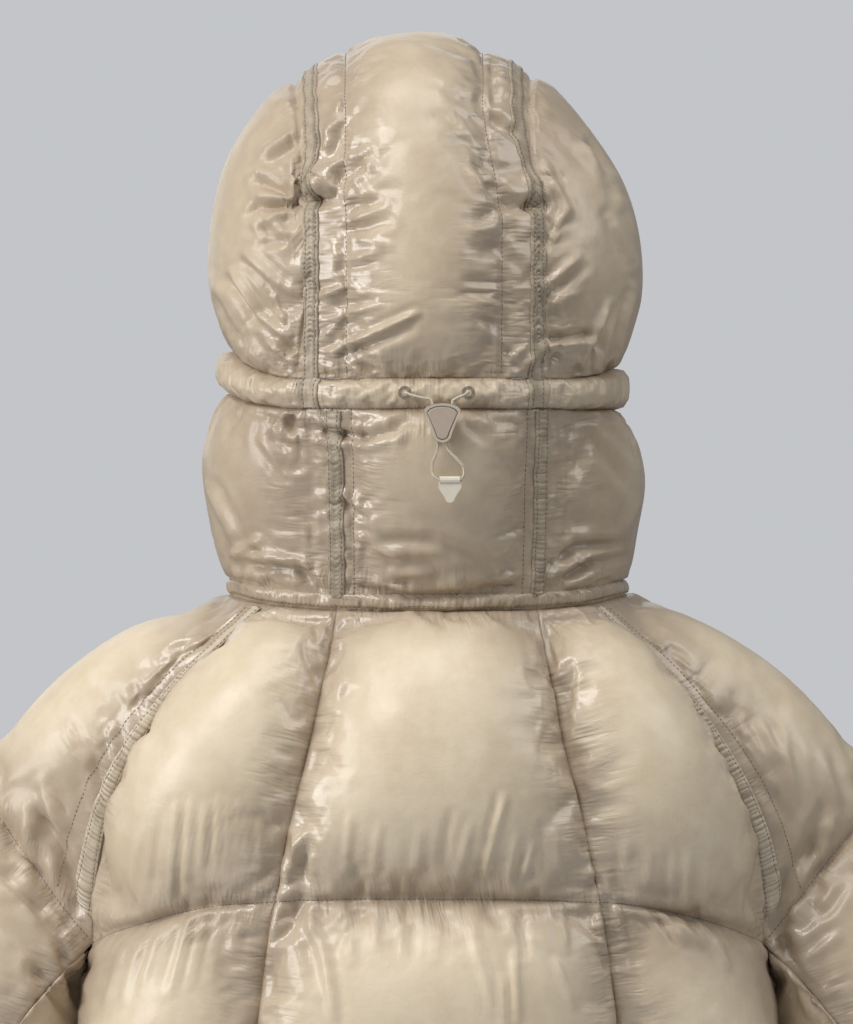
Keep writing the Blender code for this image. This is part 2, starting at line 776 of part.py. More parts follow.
def make_upper_hood(shell):
    rows = range(LOW_ROWS + HIGH_ROWS + 1)
    last = LOW_ROWS + HIGH_ROWS
    shares = steps(6, CROWN_FLAT, CROWN_FLAT)
    crown = Cloth(
        crown_point,
        shares,
        rows,
        None,
        lambda share, row: fill(share, CROWN_FLAT, CROWN_FLAT) * crown_fill(row / last),
        lambda share, row: dome_normal(crown_point(share, row)),
    )
    for column, share in enumerate(shares):
        angle = level_angle(crown.points[0, column, 0], TUNNEL_TOP_BACK)
        crown.normals[0, column] = level_direction(angle)
    upright_rim(crown, np.s_[:, 0])
    upright_rim(crown, np.s_[:, -1])
    made = {"hood_centre": crown}
    for name, side in SIDES:
        surface = hood_side_surface(side)
        rises = list(np.linspace(0, 1, LOW_ROWS + 1)[:-1]) + [1 - SIDE_FLAT, 1.0]
        columns = [0.0, SIDE_BACK_FLAT] + [(step + 1) / HIGH_ROWS for step in range(HIGH_ROWS)]
        panel = Cloth(
            surface,
            columns,
            rises,
            None,
            lambda share, rise: fill(share, SIDE_BACK_FLAT, SIDE_FACE_FLAT) * fill(rise, 0.0, SIDE_FLAT),
            lambda share, rise: dome_normal(surface(share, rise)),
        )
        start = level_angle(CROWN_SEAM[side], TUNNEL_TOP_BACK)
        for column, share in enumerate(columns):
            panel.normals[0, column] = level_direction(lerp(start, side * FACE_ANGLE, share))
        upright_rim(panel, np.s_[:, 0])
        upright_rim(panel, np.s_[-1])
        made[f"hood_side_{name}"] = panel
        pillow(f"hood_side_{name}", panel.hem_in(foot=EDGE_GAP), "hood_side", shell)
    pillow("hood_centre", crown.hem_in(), "crown", shell)
    return made


def crown_fill(share):
    """The crown fills out sooner above the tunnel than below the brim."""
    return fill(share) if share > 0.5 else fill(min(share * 1.6, 0.5))


def tunnel_fill(share, rise):
    """A roll of even thickness, flat only at its ends and its two long seams."""
    return fill(share, TUNNEL_FLAT, TUNNEL_FLAT) ** TUNNEL_FULL_POWER if 0 < rise < 1 else 0.0


def make_tunnel(shell):
    made = {}
    right = level_angle(CROWN_SEAM[-1], TUNNEL_TOP_BACK)
    left = level_angle(CROWN_SEAM[1], TUNNEL_TOP_BACK)
    spans = (
        ("tunnel_back", right, left, 7),
        ("tunnel_side_left", left, FACE_ANGLE, 8),
        ("tunnel_side_right", right, -FACE_ANGLE, 8),
    )
    for name, start, end, count in spans:
        def surface(share, rise, start=start, end=end):
            return tunnel_point(lerp(start, end, share), rise)

        def normal(share, rise, start=start, end=end):
            return level_direction(lerp(start, end, share))

        shares = steps(count, TUNNEL_FLAT, TUNNEL_FLAT)
        cloth = Cloth(surface, shares, TUNNEL_RISES, None, tunnel_fill, normal)
        made[name] = cloth
        pillow(name, cloth.hem_in(foot=EDGE_GAP), "tunnel", shell)
    return made


def lower_fill(rise):
    """The lower hood is fullest near the tunnel."""
    return fill(rise**2, LOWER_FOOT**2)


def make_lower_hood(shell):
    shares = steps(5, LOWER_CENTRE_FLAT, LOWER_CENTRE_FLAT)
    centre = Cloth(
        lower_centre_point,
        shares,
        LOWER_RISES,
        NECK_MIDDLE,
        lambda share, rise: fill(share, LOWER_CENTRE_FLAT, LOWER_CENTRE_FLAT) * lower_fill(rise),
    )
    for column, share in enumerate(shares):
        centre.normals[0, column] = neck_direction(lerp(princess_angle(0, -1), princess_angle(0, 1), share))
        angle = level_angle(centre.points[-1, column, 0], TUNNEL_TOP_BACK)
        centre.normals[-1, column] = level_direction(angle)
    made = {"lower_centre": centre}
    for name, side in SIDES:
        surface = lower_side_surface(side)
        panel = Cloth(
            surface,
            LOWER_SIDE_COLUMNS,
            LOWER_RISES,
            NECK_MIDDLE,
            lambda share, rise: fill(share, LOWER_BACK_FLAT, LOWER_FRONT_FLAT) * lower_fill(rise),
        )
        start = level_angle(LOWER_SEAM_TOP[side], TUNNEL_TOP_BACK)
        for column, share in enumerate(LOWER_SIDE_COLUMNS):
            foot_angle = lerp(princess_angle(0, side), side * zip_angle(0), share)
            panel.normals[0, column] = neck_direction(foot_angle)
            if share <= CHEEK_SHARE:
                angle = lerp(start, side * FACE_ANGLE, share / CHEEK_SHARE)
                panel.normals[-1, column] = level_direction(angle)
        panel.normals[:, 0] = centre.normals[:, -1 if side == 1 else 0]
        made[f"lower_side_{name}"] = panel
        pillow(f"lower_side_{name}", panel.hem_in(foot=COLLAR_GAP, top=EDGE_GAP), "lower", shell)
    pillow("lower_centre", centre.hem_in(foot=COLLAR_GAP, top=EDGE_GAP), "lower", shell)
    return made


# ---------------------------------------------------------------- strips laid on the panels


def between(first, second, share):
    return [lerp(a, b, share) for a, b in zip(first, second)]


def seam_line(hood, side):
    """Along one crown seam: its points, and the points beside it on the crown and on the side panel."""
    crown, panel = hood["hood_centre"], hood["hood_side_left" if side == 1 else "hood_side_right"]
    column, inner = (-1, -2) if side == 1 else (0, 1)
    low = [(rise, 0, rise, 1) for rise in range(LOW_ROWS)] + [(-1, 0, -2, 1)]
    high = [(-1, step + 2, -2, step + 2) for step in range(HIGH_ROWS)]
    edge = [(panel.points[i, j], panel.normals[i, j]) for i, j, _, _ in low + high]
    beside = [(panel.points[i, j], panel.normals[i, j]) for _, _, i, j in low + high]
    seam = list(zip(crown.points[:, column], crown.normals[:, column]))
    crown_side = list(zip(crown.points[:, inner], crown.normals[:, inner]))
    return seam, crown_side, edge, beside


def step_towards(start, end, distance):
    """A point and direction this far from one of a panel's points towards the next."""
    share = distance / np.linalg.norm(end[0] - start[0])
    return lerp(start[0], end[0], share), unit(lerp(start[1], end[1], share))


def make_hood_tapes(hood, lower, trim):
    """Ribbons over the crown seams, down across the tunnel, and over the lower hood's seams."""
    for name, side in SIDES:
        across = [CROWN_SEAM[side] + side * step for step in (-TAPE_HALF, 0, TAPE_HALF)]
        angles = [level_angle(x, TUNNEL_TOP_BACK) for x in across]
        rows = [
            [(tunnel_point(angle, share), level_direction(angle)) for angle in angles]
            for share in (0.05, 0.9)
        ]
        for seam, crown_side, edge, beside in zip(*seam_line(hood, side)):
            inner = step_towards(seam, crown_side, TAPE_HALF)
            outer = step_towards(edge, beside, min(TAPE_HALF, 0.9 * np.linalg.norm(beside[0] - edge[0])))
            rows.append([inner, (lerp(seam[0], edge[0], 0.5), seam[1]), outer])
        points = np.array([[point for point, _ in row] for row in rows])
        normals = np.array([[normal for _, normal in row] for row in rows])
        points[-1] = lerp(points[-2], points[-1], 0.97)
        laid(f"hood_tape_{name}", points, normals, trim, lift=WALL / 2 + HOOD_TAPE_GAP)

        column, inner = (-1, -2) if side == 1 else (0, 1)
        centre, panel = lower["lower_centre"], lower[f"lower_side_{name}"]
        edges = (
            between(centre.points[1:, column], centre.points[1:, inner], 0.5),
            panel.points[1:, 0],
            between(panel.points[1:, 0], panel.points[1:, 1], 0.33),
        )
        lower_normals = np.stack([centre.normals[1:, column]] * 3, axis=1)
        laid(f"lower_tape_{name}", np.stack(edges, axis=1), lower_normals, trim)


def make_collar_strip(lower, trim):
    """The narrow gathered strip that covers the foot of the hood, from zip to zip."""
    right, centre, left = (lower[key] for key in ("lower_side_right", "lower_centre", "lower_side_left"))
    parts = ((right, slice(None, 0, -1)), (centre, slice(None)), (left, slice(1, None)))
    foot = np.concatenate([cloth.points[0, keep] for cloth, keep in parts])
    head = np.concatenate([cloth.points[1, keep] for cloth, keep in parts])
    normals = np.concatenate([cloth.normals[1, keep] for cloth, keep in parts])
    points = np.stack([lerp(foot, head, share) for share in COLLAR_STRIP])
    laid("collar_strip", points, np.stack([normals, normals]), trim)


def run_on(edge, inward, first, last):
    """Points that carry a panel on past its edge, from one distance to another."""
    out = edge - inward
    out = out / np.linalg.norm(out, axis=-1, keepdims=True)
    return np.stack([edge + out * first, edge + out * last])


def make_hood_binding(hood, tunnel, lower, trim):
    """The bound edge of the face opening, from the chin up one side, over the brim and down the other."""
    halves = {}
    for name, _ in SIDES:
        chin, end = lower[f"lower_side_{name}"], tunnel[f"tunnel_side_{name}"]
        side = hood[f"hood_side_{name}"]
        first_free = next(i for i, share in enumerate(LOWER_SIDE_COLUMNS) if share > CHEEK_SHARE + 0.05)
        order = slice(None, first_free - 1, -1)
        edges = [chin.points[-1, order], end.points[1:3, -1], side.points[1:, -1]]
        inwards = [chin.points[-2, order], end.points[1:3, -2], side.points[1:, -2]]
        normals = [chin.normals[-1, order], end.normals[1:3, -1], side.normals[1:, -1]]
        halves[name] = [np.concatenate(group) for group in (edges, inwards, normals)]
    crown = hood["hood_centre"]
    brim = [crown.points[-1, 1:-1], crown.points[-2, 1:-1], crown.normals[-1, 1:-1]]
    whole = [
        np.concatenate([halves["left"][i], brim[i][::-1], halves["right"][i][::-1]]) for i in range(3)
    ]
    points = run_on(whole[0], whole[1], BINDING_START, BINDING_WIDTH)
    skins("hood_binding", points, np.stack([whole[2], whole[2]]), BINDING_HALF, BINDING_HALF, trim)


def make_bands(body, sleeves, trim):
    """The hem band and the cuffs, each carrying the cloth on below its last seam."""
    order = (
        ("front_right", slice(None, None, -1)),
        ("back_side_right", slice(None, None, -1)),
        ("back_centre", slice(None)),
        ("back_side_left", slice(None)),
        ("front_left", slice(None)),
    )
    edge = np.concatenate([body[key].points[-1, keep] for key, keep in order])
    normals = np.concatenate([body[key].normals[-1, keep] for key, keep in order])
    points = np.stack([edge - (0, 0, BAND_START), edge - (0, 0, BAND_HEIGHT)])
    skins("hem_band", points, np.stack([normals, normals]), WALL / 2, WALL / 2, trim)
    for name, _ in SIDES:
        outer, under = sleeves[f"sleeve_outer_{name}"], sleeves[f"sleeve_under_{name}"]
        edge = np.concatenate([outer.points[-1], under.points[-1, -2:0:-1]])
        inward = np.concatenate([outer.points[-2], under.points[-2, -2:0:-1]])
        normals = np.concatenate([outer.normals[-1], under.normals[-1, -2:0:-1]])
        points = run_on(edge, inward, BAND_START, BAND_HEIGHT)
        skins(f"cuff_{name}", points, np.stack([normals, normals]), WALL / 2, WALL / 2, trim, ring=True)


# ---------------------------------------------------------------- zip


def front_line(x, station):
    """A line down the front at x: below zero the station climbs from the neck seam to the chin."""
    if station >= 0:
        return body_point(body_angle(x, station, True), station)
    foot = body_point(body_angle(x, 0.0, True), 0.0)
    return lerp(foot, np.array([x, CHIN[1], CHIN[2]]), -station)


def front_station(z):
    """The station at which the line down the front reaches height z, above the neck seam."""
    foot = front_line(CHAIN_HALF, 0.0)[2]
    return -(z - foot) / (CHIN[2] - foot)


def make_zip(trim, metal):
    stations = [-1.0, -0.6, -0.2] + quilt_rows(0, int(HEM))[::2]
    for name, side in SIDES:
        columns = (CHAIN_HALF + ZIP_TAPE_GAP, ZIP_EDGE - ZIP_TAPE_GAP)
        points = np.array([[front_line(x, v) * (side, 1, 1) for x in columns] for v in stations])
        points[-1] += (0, 0, -BAND_HEIGHT)
        normals = front_normals(points)
        skins(f"zip_tape_{name}", points, normals, ZIP_TAPE_HALF_THICK, ZIP_TAPE_HALF_THICK, trim)
    points = np.array([[front_line(x, v) for x in (-CHAIN_HALF, CHAIN_HALF)] for v in stations])
    points[-1] += (0, 0, -BAND_HEIGHT)
    skins("zip_chain", points, front_normals(points), CHAIN_HALF_THICK, CHAIN_HALF_THICK, metal)


def make_slider(metal):
    """The slider, with a lug that the pull hangs under."""
    seat = front_line(CHAIN_HALF, front_station(SLIDER_Z))
    lean = math.atan2(CHIN[1] - body_point(math.pi, 0)[1], CHIN[2] - body_point(math.pi, 0)[2])
    turn = Matrix.Rotation(-lean, 4, "X")
    slider = box("zip_slider", SLIDER_SIZE, metal)
    slider.matrix_world = Matrix.Translation(Vector(seat - (CHAIN_HALF, SLIDER_SIZE[1], 0)) * MM) @ turn
    bevel(slider, 1.0)
    lug = box("lug", LUG_SIZE, metal)
    lug.location = Vector((0, seat[1] - LUG_STAND, SLIDER_Z + LUG_RISE)) * MM
    join(slider, lug, "UNION")
    pull = box("zip_pull", PULL_SIZE, metal)
    pull.data.transform(Matrix.Translation(Vector((0, 0, -PULL_SIZE[2] / 2)) * MM))
    pull.location = Vector((0, seat[1] - PULL_STAND, SLIDER_Z - PULL_DROP)) * MM
    bevel(pull, 0.7)


def front_normals(points):
    """Forward directions along a strip down the front, square to its slope."""
    slope = np.gradient(points[:, 0], axis=0)
    normals = [unit(np.cross((1, 0, 0), step)) for step in slope]
    normals = [normal if normal[1] < 0 else -normal for normal in normals]
    return np.stack([normals, normals], axis=1)


# ---------------------------------------------------------------- plain solids


def box(name, size, material):
    bpy.ops.mesh.primitive_cube_add(size=1)
    body = bpy.context.active_object
    body.name = name
    body.data.transform(Matrix.Diagonal((*(Vector(size) * MM), 1)))
    body.data.materials.append(material)
    return into_jacket(body)


def cylinder(name, radius, depth, material, sides=16):
    bpy.ops.mesh.primitive_cylinder_add(vertices=sides, radius=radius * MM, depth=depth * MM)
    body = bpy.context.active_object
    body.name = name
    body.data.materials.append(material)
    return into_jacket(body)


def into_jacket(body):
    for collection in list(body.users_collection):
        collection.objects.unlink(body)
    JACKET.objects.link(body)
    return body


def bevel(body, width, segments=2):
    modifier = body.modifiers.new("edges", "BEVEL")
    modifier.width = width * MM
    modifier.segments = segments


def join(body, other, operation):
    """Adds or cuts away another solid, which is then a guide and not a piece."""
    modifier = body.modifiers.new(operation.lower(), "BOOLEAN")
    modifier.operation = operation
    modifier.object = other
    other.hide_render = True
    other.display_type = "WIRE"
    JACKET.objects.unlink(other)
    CUTTERS.objects.link(other)


def plate(name, outline, thickness, material):
    """A flat plate standing in the XZ plane: its outline drawn as x and z, extruded along Y."""
    bm = bmesh.new()
    face = bm.faces.new([bm.verts.new((x * MM, -thickness / 2 * MM, z * MM)) for x, z in outline])
    swept = bmesh.ops.extrude_face_region(bm, geom=[face])["geom"]
    moved = [part for part in swept if isinstance(part, bmesh.types.BMVert)]
    bmesh.ops.translate(bm, verts=moved, vec=(0, thickness * MM, 0))
    bmesh.ops.recalc_face_normals(bm, faces=bm.faces)
    mesh = bpy.data.meshes.new(name)
    bm.to_mesh(mesh)
    bm.free()
    return add_object(name, mesh, material)


# ---------------------------------------------------------------- drawcord, its eyelets, lock and end tab


def lock_outline(grow):
    """The lock's face: an arched top narrowing to a rounded foot. Grow moves the outline out or in."""
    top_half, foot_half = LOCK_TOP_HALF + grow, LOCK_FOOT_HALF + grow
    height = (LOCK_TOP - LOCK_FOOT) / 2 + grow
    arch = [(top_half * math.sin(a), height - LOCK_ARCH + LOCK_ARCH * math.cos(a)) for a in arc(-80, 80, 6)]
    foot = [(foot_half * math.cos(a), foot_half * (1 + math.sin(a)) - height) for a in arc(0, -180, 6)]
    return arch + foot


def arc(first, last, count):
    return [math.radians(angle) for angle in np.linspace(first, last, count + 1)]


def channel_points(side):
    """The cord's straight way down through the lock, a little past it at both ends."""
    top = np.array([LOCK_X + side * CHANNEL_TOP, LOCK_Y, LOCK_TOP])
    foot = np.array([LOCK_X + side * CHANNEL_FOOT, LOCK_Y, LOCK_FOOT])
    return [tuple(lerp(top, foot, share)) for share in (-0.06, 0.02, 0.35, 0.65, 0.98, 1.06)]


def cord_route():
    """One length of cord: from an eyelet through the lock and the end tab, and back to the other eyelet."""
    left = [
        (EYELET_X[1], EYELET_Y + 0.2, TUNNEL_Z + 0.3),
        (EYELET_X[1] - 0.6, EYELET_Y + 3.6, TUNNEL_Z - 0.1),
        (EYELET_X[1] - 5.0, LOCK_Y - 0.2, TUNNEL_Z - 1.8),
        (EYELET_X[1] - 11.5, LOCK_Y, TUNNEL_Z - 3.4),
        *channel_points(1),
        (LOCK_X + CHANNEL_FOOT + 1.6, LOCK_Y, LOCK_FOOT - 9.0),
        (TAB_X + TAB_HALF + 4.6, TAB_Y, TAB_Z + 10.5),
        (TAB_X + TAB_HALF + 3.6, TAB_Y, TAB_Z + 2.6),
        (TAB_X + TAB_HALF + 0.6, TAB_Y, TAB_Z + 0.1),
        (TAB_X + 2.0, TAB_Y, TAB_Z),
    ]
    right = [
        (EYELET_X[-1], EYELET_Y + 0.2, TUNNEL_Z + 0.3),
        (EYELET_X[-1] + 0.4, EYELET_Y + 3.6, TUNNEL_Z - 0.1),
        (EYELET_X[-1] + 3.2, LOCK_Y - 0.2, TUNNEL_Z - 1.8),
        (EYELET_X[-1] + 7.4, LOCK_Y, TUNNEL_Z - 3.6),
        *channel_points(-1),
        (LOCK_X - CHANNEL_FOOT - 1.6, LOCK_Y, LOCK_FOOT - 5.4),
        (LOCK_X - CHANNEL_FOOT - 6.2, LOCK_Y, LOCK_FOOT - 10.4),
        (TAB_X - TAB_HALF - 2.2, TAB_Y, TAB_Z + 8.0),
        (TAB_X - TAB_HALF - 2.2, TAB_Y, TAB_Z + 2.4),
        (TAB_X - TAB_HALF - 0.6, TAB_Y, TAB_Z + 0.1),
        (TAB_X - 2.0, TAB_Y, TAB_Z),
    ]
    return left + right[::-1]


def smooth_route(points, spacing):
    """Evenly spaced points on a smooth curve through the given ones."""
    points = np.array(points, dtype=float)
    reach = np.concatenate([[0.0], np.cumsum(np.linalg.norm(np.diff(points, axis=0), axis=1))])
    curve = Table("station x y z", [(r, *p) for r, p in zip(reach, points)])
    count = int(round(reach[-1] / spacing))
    stations = np.linspace(0, reach[-1], count + 1)
    return [Vector([curve.at(r)[axis] for axis in "xyz"]) * MM for r in stations]


def cord_tube(name, points, material):
    curve = bpy.data.curves.new(name, "CURVE")
    curve.dimensions = "3D"
    curve.bevel_depth = CORD_RADIUS * MM
    curve.bevel_resolution = 2
    curve.use_fill_caps = True
    spline = curve.splines.new("POLY")
    spline.points.add(len(points) - 1)
    for point, place in zip(spline.points, points):
        point.co = (*place, 1)
    curve.materials.append(material)
    body = bpy.data.objects.new(name, curve)
    JACKET.objects.link(body)
    return body


def make_drawcord(plastic, cord, metal):
    for name, side in SIDES:
        eyelet = cylinder(f"eyelet_{name}", EYELET_RADIUS, EYELET_THICK, metal, 20)
        hole = cylinder("eyelet_hole", EYELET_HOLE, 4 * EYELET_THICK, metal)
        for body in (eyelet, hole):
            body.rotation_euler = (math.pi / 2, 0, 0)
            body.location = Vector((EYELET_X[side], EYELET_Y + EYELET_OUT, TUNNEL_Z)) * MM
        join(eyelet, hole, "DIFFERENCE")
    middle = Vector((LOCK_X, LOCK_Y, (LOCK_TOP + LOCK_FOOT) / 2)) * MM
    lock = plate("cord_lock_body", lock_outline(0.0), LOCK_THICK, plastic)
    lock.location = middle
    well = plate("lock_well", lock_outline(-LOCK_RIM), LOCK_THICK, plastic)
    well.location = middle + Vector((0, LOCK_THICK - WELL_DEPTH, 0)) * MM
    button = plate("cord_lock_button", lock_outline(-LOCK_RIM - BUTTON_GAP), BUTTON_THICK, plastic)
    button.location = middle + Vector((0, LOCK_THICK / 2 - WELL_DEPTH + BUTTON_SINK, 0)) * MM
    bevel(button, 0.5)
    join(lock, well, "DIFFERENCE")
    for side in (1, -1):
        way = channel_points(side)
        top, foot = Vector(way[0]) * MM, Vector(way[-1]) * MM
        channel = cylinder("cord_channel", CORD_RADIUS + CHANNEL_CLEAR, CHANNEL_CUT, plastic, 12)
        channel.rotation_mode = "QUATERNION"
        channel.rotation_quaternion = (top - foot).to_track_quat("Z", "Y")
        channel.location = (top + foot) / 2
        join(lock, channel, "DIFFERENCE")
    make_end_tab(plastic)
    cord_tube("drawcord", smooth_route(cord_route(), CORD_STEP), cord)


def make_end_tab(plastic):
    """A tube that the cord's loop runs through, with a tongue hanging from it."""
    tab = cylinder("cord_end_tab", TAB_RADIUS, 2 * TAB_HALF, plastic, 12)
    tab.data.transform(Matrix.Rotation(math.pi / 2, 4, "Y"))
    tab.location = Vector((TAB_X, TAB_Y, TAB_Z)) * MM
    tongue = plate("tongue", tongue_outline(), TONGUE_THICK, plastic)
    tongue.location = tab.location
    bore = cylinder("tab_bore", CORD_RADIUS + BORE_CLEAR, 4 * TAB_HALF, plastic, 12)
    bore.data.transform(Matrix.Rotation(math.pi / 2, 4, "Y"))
    bore.location = tab.location
    join(tab, tongue, "UNION")
    join(tab, bore, "DIFFERENCE")


def tongue_outline():
    """The end tab's tongue: straight shoulders that narrow to a rounded tip."""
    half = TAB_HALF + TONGUE_LIP
    tip = [(TIP_RADIUS * math.cos(a), TIP_Z + TIP_RADIUS * math.sin(a)) for a in arc(0, -180, 6)]
    top = [(-half, TONGUE_TOP), (half, TONGUE_TOP), (half, TONGUE_SHOULDER)]
    return top + tip + [(-half, TONGUE_SHOULDER)]


def new_collection(name):
    collection = bpy.data.collections.new(name)
    bpy.context.scene.collection.children.link(collection)
    return collection


for thing in list(bpy.data.objects):
    bpy.data.objects.remove(thing)
JACKET = new_collection("hooded_down_jacket")
CUTTERS = new_collection("cutters")

shell_nylon = make_material("shell_nylon", (0.62, 0.53, 0.39), 0.32)
trim_nylon = make_material("trim_nylon", (0.42, 0.36, 0.27), 0.4)
cord = make_material("cord", (0.60, 0.53, 0.43), 0.75)
lock_plastic = make_material("lock_plastic", (0.50, 0.44, 0.37), 0.35)
zip_metal = make_material("zip_metal", (0.45, 0.41, 0.34), 0.3, 0.8)

body_panels = make_body(shell_nylon)
sleeve_panels = make_sleeves(shell_nylon, trim_nylon)
upper_hood = make_upper_hood(shell_nylon)
tunnel_rolls = make_tunnel(shell_nylon)
lower_hood = make_lower_hood(shell_nylon)
make_hood_tapes(upper_hood, lower_hood, trim_nylon)
make_collar_strip(lower_hood, trim_nylon)
make_hood_binding(upper_hood, tunnel_rolls, lower_hood, trim_nylon)
make_bands(body_panels, sleeve_panels, trim_nylon)
make_zip(trim_nylon, zip_metal)
make_slider(zip_metal)
make_drawcord(lock_plastic, cord, zip_metal)
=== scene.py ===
# %% [markdown]
# # A hooded down jacket
# The jacket is made of thin, shiny nylon shells filled with down. It is seen from behind, worn, hood up.
# The solid model is loaded first, as a fixed frame. Everything made here is laid over that model's pieces,
# in the same space and in metres: +Z is up, the front faces -Y and the wearer's left is +X.

# %% Load the frame
import json
import math
from functools import partial

import bmesh
import bpy
import numpy as np
from mathutils import Matrix, Vector, noise
from mathutils.bvhtree import BVHTree

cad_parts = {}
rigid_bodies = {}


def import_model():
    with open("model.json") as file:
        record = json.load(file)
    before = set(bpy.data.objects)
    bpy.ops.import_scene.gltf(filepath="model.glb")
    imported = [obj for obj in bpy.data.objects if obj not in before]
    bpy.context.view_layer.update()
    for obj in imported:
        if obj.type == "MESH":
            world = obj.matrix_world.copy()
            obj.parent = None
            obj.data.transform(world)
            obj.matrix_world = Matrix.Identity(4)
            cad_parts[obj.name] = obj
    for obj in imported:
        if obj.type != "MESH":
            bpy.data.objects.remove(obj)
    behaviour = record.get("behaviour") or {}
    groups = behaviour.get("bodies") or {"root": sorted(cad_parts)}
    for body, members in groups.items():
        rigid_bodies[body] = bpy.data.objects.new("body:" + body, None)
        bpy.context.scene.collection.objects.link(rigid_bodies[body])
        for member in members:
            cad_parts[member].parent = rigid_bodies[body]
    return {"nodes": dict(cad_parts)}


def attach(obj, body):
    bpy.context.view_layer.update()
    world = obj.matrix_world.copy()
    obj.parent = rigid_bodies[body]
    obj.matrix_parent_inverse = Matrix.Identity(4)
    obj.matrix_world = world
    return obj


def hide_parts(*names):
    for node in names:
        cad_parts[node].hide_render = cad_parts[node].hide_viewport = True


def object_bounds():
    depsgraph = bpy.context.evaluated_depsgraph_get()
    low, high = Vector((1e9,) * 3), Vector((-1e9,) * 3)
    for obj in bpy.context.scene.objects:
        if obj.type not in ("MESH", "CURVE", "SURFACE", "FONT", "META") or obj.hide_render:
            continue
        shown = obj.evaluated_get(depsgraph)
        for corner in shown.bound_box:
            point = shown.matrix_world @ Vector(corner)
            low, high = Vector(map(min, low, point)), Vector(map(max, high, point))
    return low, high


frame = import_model()
CAD_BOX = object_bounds()
JACKET = "jacket"
MM = 0.001
SIDES = (("left", 1), ("right", -1))
print("frame:", len(frame["nodes"]), "nodes, size", [round(b - a, 3) for a, b in zip(*CAD_BOX)])

# %% [markdown]
# ## The camera
# A long lens looks straight at the back from a few steps away, level with the nape. A long lens keeps the
# near and far parts of the jacket at almost the same scale, as in a catalogue picture.

# %% The camera
CAMERA_PLACE = (0.001, 3.6, 0.062)
LENS = 188.6

camera_data = bpy.data.cameras.new("back_view")
camera_data.lens = LENS
camera_data.clip_end = 50.0
camera = bpy.data.objects.new("back_view", camera_data)
camera.location = CAMERA_PLACE
camera.rotation_euler = (math.pi / 2, 0, math.pi)
bpy.context.scene.collection.objects.link(camera)
bpy.context.scene.camera = camera
print("camera at", CAMERA_PLACE, "lens", LENS, "mm")

# %% [markdown]
# ## Tables and curves
# The cut of the jacket is a few short tables: rows of sizes in millimetres against a station. A smooth
# cubic through the rows gives every size in between, so a fine grid can be laid at any density.

# %% Tables


class Table:
    """Rows of named sizes against a station, read smoothly in between."""

    def __init__(self, columns, rows):
        self.columns = columns.split()
        self.rows = np.array(rows, dtype=float)
        self.stations = self.rows[:, 0]
        self.slopes = np.gradient(self.rows, self.stations, axis=0)

    def at(self, station):
        low = int(np.clip(np.searchsorted(self.stations, station, "right") - 1, 0, len(self.rows) - 2))
        span = self.stations[low + 1] - self.stations[low]
        t = (station - self.stations[low]) / span
        first = (1 + 2 * t) * (1 - t) ** 2 * self.rows[low] + t * (1 - t) ** 2 * span * self.slopes[low]
        second = t * t * (3 - 2 * t) * self.rows[low + 1] + t * t * (t - 1) * span * self.slopes[low + 1]
        return dict(zip(self.columns, first + second))


def unit(vector):
    vector = np.asarray(vector, dtype=float)
    return vector / np.linalg.norm(vector)


def units(vectors):
    return vectors / np.maximum(np.linalg.norm(vectors, axis=-1, keepdims=True), 1e-12)


def lerp(first, second, share):
    return first + (second - first) * share


def smooth(share):
    """A soft rise from 0 to 1 for one number."""
    share = min(max(share, 0.0), 1.0)
    return share * share * (3 - 2 * share)


def soft_step(values):
    """The same soft rise for a whole array."""
    values = np.clip(values, 0, 1)
    return values * values * (3 - 2 * values)


def signed_power(value, power):
    return math.copysign(abs(value) ** power, value)


def distances(points):
    """How far along a line of points each one lies."""
    steps = np.linalg.norm(np.diff(points, axis=0), axis=1)
    return np.concatenate([[0.0], np.cumsum(steps)])


# %% [markdown]
# ## The drawcord
# A thin braided cord leaves the tunnel at two eyelets, runs through a spring lock and round a small end
# tab. It is one loop with nothing coiled, so it is one tube swept along a smooth route. The tube carries its
# own UV map, length along it and turn round it, which the braid follows.

# %% The drawcord's route
CORD_RADIUS = 0.95
TUNNEL_Z = 138.8
EYELET_X = {1: 15.0, -1: -26.0}
EYELET_Y = 142.2
LOCK_X, LOCK_Y, LOCK_TOP, LOCK_FOOT = -9.2, 148.0, 132.0, 106.5
CHANNEL_TOP, CHANNEL_FOOT = 6.6, 3.2
TAB_X, TAB_Y, TAB_Z, TAB_HALF = -14.0, 147.5, 82.6, 6.6


def channel_points(side):
    """The cord's straight way down through the lock, a little past it at both ends."""
    top = np.array([LOCK_X + side * CHANNEL_TOP, LOCK_Y, LOCK_TOP])
    foot = np.array([LOCK_X + side * CHANNEL_FOOT, LOCK_Y, LOCK_FOOT])
    return [tuple(lerp(top, foot, share)) for share in (-0.06, 0.02, 0.35, 0.65, 0.98, 1.06)]


